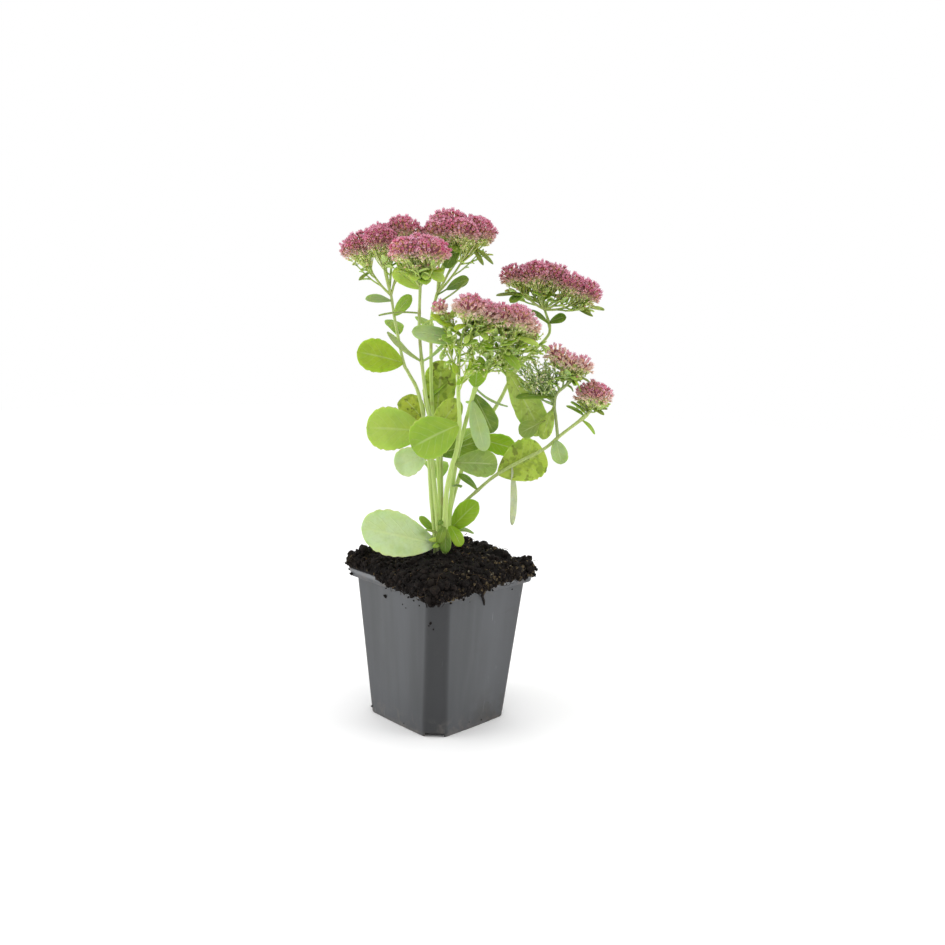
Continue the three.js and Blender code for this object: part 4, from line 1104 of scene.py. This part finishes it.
# the clusters of each head by the stem that feeds them: middle, and radius
HEADS = {
    "left": {"left": [(-54, 2, 294, 12.5), (-42, -6, 298, 11), (-42, 8, 301, 11), (-29.5, 11, 305, 12)]},
    "front_left": {"front_left": [(-25, -22, 292.5, 10.5), (-11, -24, 293, 11.5), (-17, -14, 296, 9.5)]},
    "top": {"top": [
        (-2, 27, 310, 13.5), (14.5, 24, 306.5, 13), (-7, 14, 305, 11), (6.5, 12.5, 305.5, 11),
    ]},
    "front": {
        "front": [(12.6, -34, 261.5, 10), (22, -30, 258.5, 9.5), (15, -23, 260.5, 9)],
        "right": [
            (31.5, -28, 257, 9.5), (41.5, -25.5, 255.3, 10), (48, -22, 251.8, 8), (41, -14, 256, 9.5),
        ],
    },
    "front_side": {"front": [(-4, -29, 260.5, 5.6)]},
    "back_right": {"back_right": [
        (40, 20, 280.5, 9), (52.5, 18, 281.2, 11), (64.5, 22, 280, 11), (75, 17, 276, 9.5),
        (84.5, 20, 272, 10.5), (58, 32, 282.5, 10),
    ]},
    "side_right": {"side": [
        (66, -8, 235.5, 6.5), (70, -10, 232.5, 6.5), (75, -10, 229.5, 7.5), (82, -8, 228, 7.5),
    ]},
    "low_right": {"low_right": [(91, -8, 210.5, 10.5), (86, -4, 209.5, 7)]},
}
# how many small leafy shoots with green buds stand under each cluster of a head
SHOOTS = {
    "left": 2, "front_left": 3, "top": 2, "front": 4, "front_side": 4, "back_right": 3, "side_right": 3,
    "low_right": 3,
}
# how bright the florets of a head are, and how far they are still cream
HUES = {
    "left": (1.15, 0.02), "front_left": (1.4, 0.0), "top": (1.25, 0.06), "front": (1.4, 0.27),
    "front_side": (1.3, 0.25), "back_right": (1.2, 0.03), "side_right": (1.45, 0.35),
    "low_right": (1.3, 0.15),
}
FLORET_SPACING = 1.55
FLORET_REACH = 3.4     # from its root to the tips of its petals
GOLDEN_ANGLE = 2.39996


def tilt(axis):
    """The turn that carries straight up onto an axis the short way, by Rodrigues' formula, as a matrix
    that multiplies row vectors from the right."""
    x, y, z = axis
    skew = np.array([[0, 0, x], [0, 0, y], [-x, -y, 0]])
    return (np.eye(3) + skew + skew @ skew / (1 + z)).T


def cluster(feed, x, y, z, radius):
    """A cluster's dome: its axis leans out from the fork of the stem that feeds it; half-width and
    heights of the green middle, above and below its centre."""
    fork, centre = paths[feed][-1], np.array([x, y, z], float)
    axis = unit(unit(centre - fork) * 0.5 + np.array([0, 0, 0.8]))
    return {
        "feed": feed, "fork": fork, "centre": centre, "axis": axis, "turn": tilt(axis), "radius": radius,
        "wide": radius - 2.6, "high": 0.72 * radius - 1, "low": 0.5 * radius,
    }


def inside(dome, points, margin):
    """True for points inside the dome grown by "margin": the sum of the squares of their distances
    across and along its axis, each over the dome's size that way, is below 1."""
    local = (points - dome["centre"]) @ dome["turn"].T
    tall = np.where(local[:, 2] > 0, dome["high"], dome["low"]) + margin
    wide = dome["wide"] + margin
    return (local[:, 0] ** 2 + local[:, 1] ** 2) / wide**2 + (local[:, 2] / tall) ** 2 < 1


def spindles(count, low, middle, high, wide, sides=3):
    """Slender closed shapes standing in a ring: each goes from "low" over a ring of "sides" points,
    "wide" across at "middle", to the tip "high"; all three are (distance from the axis, height)."""
    low, middle, high = [np.array([p[0], 0, p[1]]) for p in (low, middle, high)]
    a = round_angles(sides)[:, None]
    oval = np.sin(a) * np.array([0, 1, 0]) + 0.55 * np.cos(a) * np.array([0.8, 0, -0.35])
    one = np.concatenate([middle + wide / 2 * oval, [low, high]])
    i = np.arange(sides)
    k = (i + 1) % sides
    fans = np.concatenate([
        np.stack([np.full(sides, sides), i, k], -1), np.stack([np.full(sides, sides + 1), k, i], -1),
    ])
    points, faces, heights = [], [], []
    for n in range(count):
        points.append(one @ about_z(2 * math.pi * n / count))
        faces.append(fans + n * len(one))
        heights.append(np.concatenate([np.full(sides, 0.5), [0.0, 1.0]]))
    return np.concatenate(points), np.concatenate(faces), np.concatenate(heights)


def floret(opened):
    """A floret on its axis, in millimetres: stalk and cup, five petals that lean out by "opened", and
    the carpels. "part" holds for each point which part it belongs to and how far up that part it is."""
    def lean(shut, wide):
        return shut + (wide - shut) * opened

    petal_tip = (lean(0.35, 1.5), lean(3.5, 3.1))
    parts = [
        spindles(1, (0, -3.4), (0, 0.5), (0, 2.0), 1.5, 5),
        spindles(5, (0.3, 0.6), (lean(0.6, 0.95), 2.2), petal_tip, lean(1.05, 1.15)),
        spindles(1, (0, 1.0), (0, 2.1), (0, lean(3.2, 3.1)), 1.1, 5),
    ]
    first = np.cumsum([0] + [len(points) for points, _, _ in parts[:-1]])
    part = [np.column_stack([np.full(len(up), n), up]) for n, (_, _, up) in enumerate(parts)]
    return (
        np.concatenate([points for points, _, _ in parts]),
        np.concatenate([fans + k for (_, fans, _), k in zip(parts, first)]),
        np.concatenate(part),
    )


def floret_spots(dome, others, rng):
    """Even places over the upper side of a dome, on a spiral of golden angles, and the way each floret
    points. Those inside a neighbouring dome are left out."""
    wide, high = dome["wide"], dome["high"]
    covered = 0.62         # share of the dome's height, from the top, that carries florets
    count = int(5.2 * wide * wide * covered / FLORET_SPACING**2) + 3
    k = np.arange(count)
    height = 1 - (k + 0.5) * (2 * covered / count)
    ring = np.sqrt(np.maximum(0, 1 - height**2))
    angle = GOLDEN_ANGLE * k + dome["radius"]
    local = round_axis(ring, angle, height)
    local += rng.normal(0, 0.035, local.shape)
    root = (local * [wide, wide, high]) @ dome["turn"] + dome["centre"]
    out = local * [0.75, 0.75, 1] + [0, 0, 0.25] + rng.normal(0, 0.12, local.shape)
    out = units(out) @ dome["turn"]
    hidden = np.zeros(count, bool)
    for other in others:
        hidden |= inside(other, root + out * FLORET_REACH * 0.9, 0.3)
    root = root + out * rng.uniform(-0.6, 1.2, (count, 1))
    return root[~hidden], out[~hidden]


def bloom_skin(domes, seed, bright, cream):
    """All florets of a head, each sized, spun and opened at random, and the middle of each dome."""
    rng = np.random.default_rng(seed)
    shut, fans, part = floret(0.0)
    wide_open = floret(1.0)[0]
    bodies = []
    for n, dome in enumerate(domes):
        root, out = floret_spots(dome, domes[:n] + domes[n + 1:], rng)
        count = len(root)
        opened = np.clip(rng.normal(0.5, 0.32, count), 0, 1)[:, None, None]
        shape = shut + (wide_open - shut) * opened
        size = rng.uniform(0.86, 1.16, count)[:, None, None]
        spin = rng.uniform(0, 2 * np.pi, count)
        c, s = np.cos(spin), np.sin(spin)
        zero, one = np.zeros(count), np.ones(count)
        roll = np.stack([c, s, zero, -s, c, zero, zero, zero, one], 1).reshape(-1, 3, 3)
        turn = roll @ np.stack([tilt(axis) for axis in out])
        points = root[:, None] + np.einsum("nvi,nij->nvj", shape * size, turn)
        level = ((root - dome["centre"]) @ dome["axis"]) / dome["high"]
        colours = np.minimum(floret_colours(part, root, level, cream, rng) * bright, 1)
        bodies += [tinted(copies(points, NO_QUADS, fans), colours), middle_skin(dome)]
    return join(bodies)


def floret_colours(part, root, level, cream, rng):
    """Colours up each floret: the cup green to cream, the petals from their base through pink to wine red,
    the carpels darker; each floret has its own depth, those low on a dome are creamier, and patches that
    are not yet out stay olive. The petals' base is cream on creamy heads, and on the others a dark wine
    red: painted shade deep between the florets."""
    count = len(root)
    kind, up = part[:, 0][None, :, None], part[:, 1][None, :, None]
    deep = np.clip(rng.uniform(-0.1, 1, (count, 1, 1)) + 0.5 * lumps(root, 7, 31)[:, None, None], 0, 1)
    cup = between("#b0a065", "#dc9f93", up)
    # painted shade: the petals' base goes from cream on creamy heads to dark wine red on the others, for
    # the shade deep between the florets
    claw_and_gap_shade = between("#a8505f", "#e6bda6", min(1, 3 * cream))
    pink = between("#f4aec2", "#d2688d", deep)
    tip = between("#b5557a", "#5f1f3a", deep)
    lower, upper = claw_and_gap_shade * (1 - 2 * up) + pink * 2 * up, pink * (2 - 2 * up) + tip * (2 * up - 1)
    petal = np.where(up < 0.5, lower, upper)
    heart = between("#b8597a", "#7d2f4c", up)
    colour = np.where(kind == 0, cup, np.where(kind == 1, petal, heart))
    cream = np.clip(0.42 + 2.2 * cream - level * 1.3, 0.3 * cream, 0.85)[:, None, None]
    colour = colour * (1 - cream) + linear("#e2c9b4") * (1 - 0.25 * up) * cream
    green = np.clip(lumps(root, 9, 13) * 1.6 - 0.9, 0, 0.45)[:, None, None]
    colour = colour * (1 - green) + linear("#8f8a4c") * (0.6 + 0.6 * up) * green
    return (colour * rng.uniform(0.8, 1.15, (count, 1, 1))).reshape(-1, 3)


def middle_skin(dome):
    """The crowded cups and small stalks in the middle of a dome, as one rough ball: an ellipsoid a
    little inside the florets' roots, flatter below; green below and the florets' pink above."""
    rows, columns = 9, 16
    wide, top, bottom = dome["wide"] * 0.86, dome["high"] * 0.86, dome["low"] * 0.45
    polar = np.linspace(0.16, np.pi - 0.16, rows)[:, None]
    a = round_angles(columns)[None]
    up = -np.cos(polar)
    x, y = np.sin(polar) * np.cos(a) * wide, np.sin(polar) * np.sin(a) * wide
    local = np.stack(np.broadcast_arrays(x, y, up * np.where(up > 0, top, bottom)), -1)
    local *= 1 + 0.08 * lumps(local.reshape(-1, 3), 2.4, 6).reshape(rows, columns, 1)
    rings = local @ dome["turn"] + dome["centre"]
    ends = np.array([[0, 0, -bottom], [0, 0, top]]) @ dome["turn"] + dome["centre"]
    share = np.concatenate([np.repeat(up.ravel(), columns), [-1, 1]])[:, None]
    return tinted(lofted(rings, *ends), between("#d3df92", "#84404f", np.clip(0.5 + 2 * share, 0, 1)))


def branch_to(dome):
    """The branch from the fork to the underside of a dome: a parabola that sets out low."""
    fork, centre = dome["fork"], dome["centre"]
    hub = centre - dome["axis"] * (dome["low"] + 6)
    start = fork + (centre - fork) * -0.03
    bend = fork + (hub - fork) * 0.6 - np.array([0, 0, 0.1 * np.linalg.norm(hub - fork)])
    end = centre - dome["axis"] * dome["low"] * 0.5
    return parabola(start, bend, end, np.linspace(0, 1, 14)[:, None])


def strands(starts, ends, sag, thick, sides=4):
    """Many thin stalks at once: from start to end over a middle point moved by "sag", each a tube of
    four rings in the plane across its own chord."""
    t = np.array([0, 0.35, 0.7, 1.0])[None, :, None]
    line = starts[:, None] * (1 - t) + ends[:, None] * t + sag[:, None] * (4 * t * (1 - t))
    chord = units(ends - starts)
    spare = np.where(np.abs(chord[:, 2:]) < 0.8, [[0.0, 0, 1]], [[1.0, 0, 0]])
    across = units(np.cross(chord, spare))
    over = np.cross(chord, across)
    a = round_angles(sides)[None, None, :, None]
    ring = np.cos(a) * across[:, None, None] + np.sin(a) * over[:, None, None]
    rings = line[:, :, None] + thick[:, None, None, None] * (1 - 0.25 * t[..., None]) * ring
    points = np.concatenate([rings.reshape(len(starts), -1, 3), line[:, :1], line[:, -1:]], axis=1)
    return copies(points, *ring_faces(4, sides))


def stalklet(start, tip, bow, thick, colour):
    """One thin stalk."""
    return tinted(strands(start[None], tip[None], bow[None], np.array([thick])), linear(colour))


def knobs(places, least, most, rng):
    """Small round buds, from the least to the most radius."""
    turn = any_turn(rng, len(places))
    return scatter(pebble(1, 0.0, 1), places, turn, rng.uniform(least, most, len(places)))


def budded(feet, buds, thick, green, span, shades, chances, rng):
    """Thin stalks from feet to buds, and the buds, in shades drawn by their chances."""
    stalks = tinted(strands(feet, buds, buds * 0, np.full(len(buds), thick)), linear(green))
    knob = knobs(buds, *span, rng)
    return [stalks, tinted(knob, shades[rng.choice(len(shades), len(buds), p=chances)])]


def truss_skins(dome, rng):
    """The branch of a cluster, the fan of fine stalks that spreads from its end to the florets, and a
    ring of small green and cream buds under the dome's rim."""
    branch = branch_to(dome)
    t = np.linspace(0, 1, len(branch))
    skins = [tinted(tube(branch, 0.82 - 0.24 * t, 8), linear("#b6c472"))]
    count = int(dome["radius"] * 5)
    angle = GOLDEN_ANGLE * np.arange(count)
    spread = np.sqrt((np.arange(count) + 0.5) / count)
    reach = spread * dome["wide"] * 0.98
    sink = dome["low"] * 0.4 * np.sqrt(np.maximum(0, 1 - spread**2)) - 0.3 * spread
    ends = round_axis(reach, angle, -sink) @ dome["turn"]
    starts = branch[8 + (5 * rng.random(count)).astype(int)]
    sag = rng.normal(0, 0.3, (count, 3)) - dome["axis"] * 1.1
    stalks = strands(starts, ends + dome["centre"], sag, rng.uniform(0.26, 0.46, count))
    shades = card("#e6f09c", "#d4e57e", "#ece9b4", "#b9d067")
    skins.append(tinted(stalks, shades[rng.integers(0, 4, count)]))

    count = int(dome["radius"] * 7)
    angle = rng.uniform(0, 2 * np.pi, count)
    reach = dome["wide"] * rng.uniform(0.72, 1.08, count)
    sink = dome["low"] * rng.uniform(0.1, 0.75, count)
    buds = round_axis(reach, angle, -sink) @ dome["turn"]
    feet = buds * 0.75 - dome["axis"] * 2.4 + dome["centre"]
    buds = buds + dome["centre"]
    shades, chances = card("#f0f0b8", "#dfe89a", "#f6e2c4", "#eebfb0"), [0.32, 0.28, 0.26, 0.14]
    return skins + budded(feet, buds, 0.25, "#cbdb7e", (0.55, 0.95), shades, chances, rng)


# looks that leaflets are drawn from
SHOOT_LOOKS = ("bright", "light", "fresh", "light", "mid", "mid", "yellow")
SPRAY_LOOKS = ("bright", "light", "fresh", "light", "light", "mid")


def slack(start, tip, bow, share):
    """The point a share of the way along a stalk whose middle is moved by "bow"."""
    return start + (tip - start) * share + bow * 4 * share * (1 - share)


def leaflet(root, way, longest, looks, face, loose, arch, rng):
    """A narrow leaflet whose length, look, facing and width are drawn, in this order."""
    length = rng.uniform(4.5, longest)
    look = looks[rng.integers(0, len(looks))]
    facing = np.add(face, [rng.normal(0, loose), rng.normal(0, loose), 0])
    width = length * rng.uniform(0.35, 0.6)
    return leaf(root, root + way * length, width, facing, arch, look)


def shoot_skins(dome, number, rng):
    """Small shoots off a branch: a thin stalk, three or four narrow leaflets, and a tuft of green
    buds at its tip. They stand out round the branch and up towards the underside of the dome."""
    branch = branch_to(dome)
    stalks, leaves = [], []
    for _ in range(number):
        start = branch[rng.integers(2, 10)]
        angle = rng.uniform(0, 2 * np.pi)
        local = np.array([math.cos(angle), math.sin(angle), 0]) * dome["wide"] * rng.uniform(0.55, 1.15)
        local[2] = -dome["low"] - rng.uniform(0.5, 6)
        tip = local @ dome["turn"] + dome["centre"]
        if tip[2] < start[2] - 4:
            tip[2] = start[2] + rng.uniform(0, 4)
        bow = np.array([0, 0, -1.2])
        ahead = unit(tip - start)
        stalks.append(stalklet(start, tip, bow, 0.55, "#a3ba5b"))
        for share in (0.45, 0.7, 0.85, 1.0)[: rng.integers(2, 5)]:
            root = slack(start, tip, bow, share)
            way = unit(rng.normal(size=3) * [1, 1, 0.45] + ahead * 0.9 + [0, 0, 0.2])
            leaves.append(leaflet(root, way, 10, SHOOT_LOOKS, (0, 0, 1), 0.4, 0.5, rng))
        count = rng.integers(4, 8)
        ways = units(rng.normal(size=(count, 3)) * [1, 1, 0.5] + ahead * 1.1 + [0, 0, 0.7])
        buds = tip + ways * rng.uniform(2, 4.2, (count, 1))
        feet = np.tile(tip, (count, 1))
        shades, chances = card("#b7bf6a", "#9fae55", "#c79d80", "#a8606a"), [0.4, 0.3, 0.15, 0.15]
        stalks += budded(feet, buds, 0.28, "#aabd62", (0.65, 1.0), shades, chances, rng)
    return stalks, leaves


# Sprays of green buds below the front and side heads: stem, height where each leaves it, tip
SPRAYS = {
    "front": [
        (222, (2, -30, 238)), (226, (16, -33, 240)), (232, (3, -36, 247)), (236, (14, -37, 249)),
        (240, (20, -32, 250)), (218, (17, -27, 232)), (212, (12, -31, 226)), (240, (-2, -30, 252)),
        (228, (9, -34, 243)), (234, (22, -30, 244)), (224, (-3, -27, 243)),
    ],
    "right": [
        (217, (24, -22, 230)), (220, (28, -26, 236)), (222, (34, -22, 233)), (224, (26, -28, 243)),
        (226, (36, -26, 240)), (228, (42, -22, 238)), (230, (33, -30, 246)), (232, (46, -24, 243)),
        (234, (52, -18, 240)), (236, (40, -28, 248)), (238, (54, -20, 246)), (228, (46, -16, 231)),
        (231, (52, -14, 235)), (225, (40, -17, 228)), (233, (58, -14, 238)), (236, (58, -16, 243)),
        (229, (20, -30, 240)), (224, (38, -12, 234)),
    ],
    "side": [
        (204, (52, -9, 214)), (205, (56, -12, 220)), (207, (60, -10, 224)), (208, (50, -12, 222)),
        (210, (62, -8, 228)), (211, (57, -6, 217)), (213, (66, -10, 226)), (215, (72, -8, 224)),
        (212, (54, -10, 228)), (209, (63, -12, 219)), (216, (80, -9, 224)), (217, (76, -6, 226)),
        (206, (42, -14, 228)), (207, (46, -12, 223)), (208, (48, -15, 231)), (205, (45, -16, 218)),
        (209, (51, -10, 234)), (206, (52, -14, 221)), (208, (41, -12, 233)), (210, (59, -13, 231)),
    ],
}


def spray_skins(start, tip, lacy, rng):
    """A spray: a thin stalk in a slack arc, side stalks that leave its outer half in all directions
    with a bud on each, and a few narrow leaflets. A lacy one has darker stalks and no leaflets."""
    tip = np.array(tip, float)
    bow = np.array([0, 0, -0.08 * np.linalg.norm(tip - start)])
    if lacy:
        count, leaflets, green = 15, 0, "#7d9a52"
        greens = card("#86a158", "#a4bd68", "#6a8747", "#d0de9c")
    else:
        count, leaflets, green = 12, 5, "#bdd26a"
        greens = card("#c9dc70", "#b0cc55", "#dbe68f", "#95b53f")
    share = rng.uniform(0.45, 1, count)[:, None]
    feet = slack(start, tip, bow, share)
    ways = units(rng.normal(size=(count, 3)) + unit(tip - start) * 0.7 + [0, 0, 0.55])
    buds = feet + ways * rng.uniform(3, 7.5, (count, 1))
    side_stalks = strands(feet, buds, rng.normal(0, 0.35, (count, 3)), rng.uniform(0.24, 0.4, count))
    side_stalks = tinted(side_stalks, greens[rng.integers(0, 4, count)])
    knob = knobs(buds, 0.55, 0.95, rng)
    pale = card("#dbe4b4", "#c3d187", "#a9bf62", "#e3d7b4")
    knob = tinted(knob, pale[rng.integers(0, 4, count)])
    leaves = [
        leaflet(place, way, 8.5, SPRAY_LOOKS, (0, -0.5, 0.9), 0.5, 0.4, rng)
        for place, way in zip(feet[:leaflets], ways)
    ]
    return [stalklet(start, tip, bow, 0.6, green), side_stalks, knob], leaves


def bloom_finish():
    """Petals: the colour of each point of a floret, with a soft sheen and fine mottling."""
    glow = {"Subsurface Weight": 0.2, "Subsurface Scale": 0.001, "Subsurface Radius": (1.0, 0.5, 0.5)}
    f = Finish("blossom", glow)
    fine = f.noise(0.0007, detail=2)
    broad = f.noise(0.008, detail=2)
    colour = f.blend(fine.step(0.45, 0.8) * 0.2, f.field("tint"), "#eec0b9")
    colour = f.blend(broad.step(0.5, 0.75) * 0.18, colour, "#8a4a4c")
    return f.wear(colour, 0.52 + 0.2 * fine, fine * 0.00005)


bloom_material = bloom_finish()
domes = {}
for head, fed in HEADS.items():
    domes[head] = [cluster(feed, *place) for feed, places in fed.items() for place in places]
    skin = set_up(bloom_skin(domes[head], 100 + len(head), *HUES[head]))
    piece(f"florets_{head}", skin, bloom_material, f"head_{head}")

# ---------------------------------------------------------------------- stems with their leaves
# Each fleshy stem carries leaves and sprays up its length and forks into branches below its head;
# small shoots and leaves grow from those, and fine stalks fan out to the florets.

# small leaves under the clusters of each head: number of the cluster, tip, width, look
BRACTS = {
    "left": [(0, (-55, -1, 276), 3, "dull"), (3, (-22, 14, 291), 5, "mid")],
    "front_left": [
        (1, (-3, -27, 283), 5, "fresh"), (1, (-13, -26, 278), 5.5, "light"),
        (0, (-23, -24, 279), 5, "light"), (2, (-13, -21, 275), 8, "light"),
        (1, (-3, -24, 277), 8, "light"), (0, (-19, -26, 277), 6, "light"),
    ],
    "top": [
        (1, (20, 20, 287.5), 3.4, "dull"), (1, (26.5, 20, 289), 3.4, "dull"),
        (0, (-16, 33, 294), 5, "dull"), (3, (3, 3, 295), 6, "dark"), (3, (-2.5, 9, 285), 9.5, "dark"),
    ],
    "front": [
        (1, (24, -36, 245), 5, "light"), (4, (54, -31, 242), 5, "light"), (6, (48, -5, 246), 5, "mid"),
        (0, (5, -40, 250), 5, "fresh"),
    ],
    "back_right": [
        (0, (29, 14, 269), 4, "dull"), (0, (38, 16, 265), 6.5, "dark"), (4, (90, 18, 258), 3.4, "dull"),
        (4, (88, 12, 261), 3.4, "dull"), (5, (58, 43, 270), 5, "dull"), (2, (74, 28, 268), 5, "mid"),
    ],
    "low_right": [(0, (97, -12, 200), 3.4, "dull")],
    "side_right": [(3, (88, -4, 219), 3, "dull")],
}
# colours at the foot and at the fork of the stems that aren't yellow-green
STALK_HUES = {
    "low_right": ("#8e9a5b", "#b3c470"), "side": ("#8d9c62", "#a5b56c"), "left": ("#bfd873", "#a9b873"),
    "front_left": ("#bfd873", "#a6b76c"), "back_right": ("#b4c86c", "#98ad58"),
}


def line_skins(line, thick, rng):
    """The stalk of a stem or a branch, the leaves up it, and its sprays."""
    low, high = STALK_HUES.get(line, ("#bfd873", "#aac45f"))
    stalks = [stalk_skin(paths[line], thick, [z for z, *_ in LEAVES[line]], low, high)]
    leaves = [leaf(at_height(paths[line], z), *rest, n) for n, (z, *rest) in enumerate(LEAVES[line])]
    for z, tip in SPRAYS.get(line, []):
        more_stalks, more_leaves = spray_skins(at_height(paths[line], z), tip, line == "side", rng)
        stalks += more_stalks
        leaves += more_leaves
    return stalks, leaves


def cluster_skins(head, number, rng):
    """What carries a cluster: its truss, the shoots round it and the small leaves under it."""
    dome = domes[head][number]
    trusses = truss_skins(dome, rng)
    stalks, leaves = shoot_skins(dome, SHOOTS[head], rng)
    root = branch_to(dome)[12 if head == "top" else 9]
    for owner, tip, width, look in BRACTS.get(head, []):
        if owner == number:
            leaves.append(leaf(root, tip, width, (0, -0.6, 0.8), 0.6, look, number))
    return trusses + stalks, leaves


for name, (_, thick, route) in STEMS.items():
    rng = np.random.default_rng(300 + len(name) * 7 + int(route[0][2]))
    lines = {name: thick}
    grown = []  # pairs of stalk skins and leaf skins
    if name == "low_right":
        lines["side"] = SIDE_THICK
    if name == "front_left":
        grown.append(([stalk_skin(flowing(SPENT_SHOOT), (1.5, 0.8), [], "#9fb552", "#8da348")], []))
    grown += [line_skins(line, ends, rng) for line, ends in lines.items()]
    for head in HEADS:
        fed = [number for number, dome in enumerate(domes[head]) if dome["feed"] in lines]
        grown += [cluster_skins(head, number, rng) for number in fed]
    stalks = [skin for skins, _ in grown for skin in skins]
    leaves = [skin for _, skins in grown for skin in skins]
    piece(f"stalk_{name}", set_up(join(stalks)), stalk_material, f"stem_{name}")
    piece(f"leaves_{name}", set_up(join(leaves)), leaf_material, f"stem_{name}")

# ------------------------------------------------------------------------- floor and light
# A white table top that fades into a white background, lit by a bright room that is darker on the
# camera's side, with broad soft lamps to the left, to the right and overhead.

FLOOR_SIDES = 48
angle, reach = np.meshgrid(round_angles(FLOOR_SIDES), np.linspace(0.1, 1.6, 9))
floor_rings = round_axis(reach, angle, np.zeros(angle.shape))[::-1]
quads, fans = ring_faces(len(floor_rings), FLOOR_SIDES)
floor_points = [*floor_rings.reshape(-1, 3).tolist(), (0, 0, 0), (0, 0, 0)]
floor_mesh = bpy.data.meshes.new("floor")
floor_mesh.from_pydata(floor_points, [], [*quads.tolist(), *fans[FLOOR_SIDES:].tolist()])
floor = bpy.data.objects.new("floor", floor_mesh)
bpy.context.scene.collection.objects.link(floor)
floor_finish = Finish("table", {"Specular IOR Level": 0.1, "Emission Strength": 1.0})
soft = floor_finish.noise(0.3, detail=1)
away = floor_finish.node("ShaderNodeVectorMath", {"operation": "LENGTH"}, {0: floor_finish.place()}, 1)
far = away.step(0.25, 0.9)
white = floor_finish.blend(soft, "#fafafa", "#fdfdfd")
floor_finish.wear(floor_finish.blend(far, white, "#000000"), 0.75 + 0.1 * soft)
glow = floor_finish.blend(far, "#000000", "#ffffff")
floor_finish.tree.links.new(glow.socket, floor_finish.shader.inputs["Emission Color"])
floor_mesh.materials.append(floor_finish.material)


def lamp(name, place, aim, size, power):
    """A square soft lamp at "place" that shines at "aim"."""
    light = bpy.data.lights.new(name, "AREA")
    light.energy, light.size = power, size
    thing = bpy.data.objects.new(name, light)
    back = np.array(place, float) - np.array(aim, float)
    across = unit(np.cross([0, 0, 1], back) + [1e-6, 0, 0])
    axes = np.column_stack([across, np.cross(unit(back), across), unit(back)])
    thing.matrix_world = Matrix.Translation(place) @ Matrix(axes.tolist()).to_4x4()
    bpy.context.scene.collection.objects.link(thing)


MIDDLE = (0.0, 0.0, 0.18)
lamp("lamp_left", (-1.1, 0.7, 0.7), MIDDLE, 1.0, 7.5)
lamp("lamp_right", (0.8, -1.1, 0.7), MIDDLE, 1.0, 5)
lamp("lamp_over", (0.1, 0.1, 1.7), MIDDLE, 1.2, 5)

# the room is darker on the camera's side; seen straight by the camera it is plain white
world = bpy.data.worlds.new("studio")
world.use_nodes = True
room = Nodes(world.node_tree)
towards = room.node("ShaderNodeTexCoord", {}, {}, 0)
dot = {"operation": "DOT_PRODUCT"}
facing = room.node("ShaderNodeVectorMath", dot, {0: towards, 1: (-0.7, -0.7, -0.1)}, 1)
glow = 1.05 - facing.step(0.1, 0.95) * 0.45
seen = room.node("ShaderNodeLightPath", {}, {})
strength = room.node("ShaderNodeMix", {}, {0: seen, 2: glow, 3: 1.0})
background = world.node_tree.nodes["Background"]
background.inputs["Color"].default_value = (1, 1, 1, 1)
world.node_tree.links.new(strength.socket, background.inputs["Strength"])
bpy.context.scene.world = world
bpy.context.scene.view_settings.view_transform = "Standard"

CAMERA_AT = (-0.45064, -0.47594, 0.28132)
PITCH = 10.55          # degrees down
ROLL = 0.0337145       # radians
LENS = 40.32
camera_data = bpy.data.cameras.new("camera")
camera_data.lens, camera_data.sensor_width = LENS, 36
camera = bpy.data.objects.new("camera", camera_data)
aim = Matrix.Rotation(math.radians(-45), 4, "Z") @ Matrix.Rotation(math.radians(90 - PITCH), 4, "X")
camera.matrix_world = Matrix.Translation(CAMERA_AT) @ aim @ Matrix.Rotation(ROLL, 4, "Z")
bpy.context.scene.collection.objects.link(camera)
bpy.context.scene.camera = camera
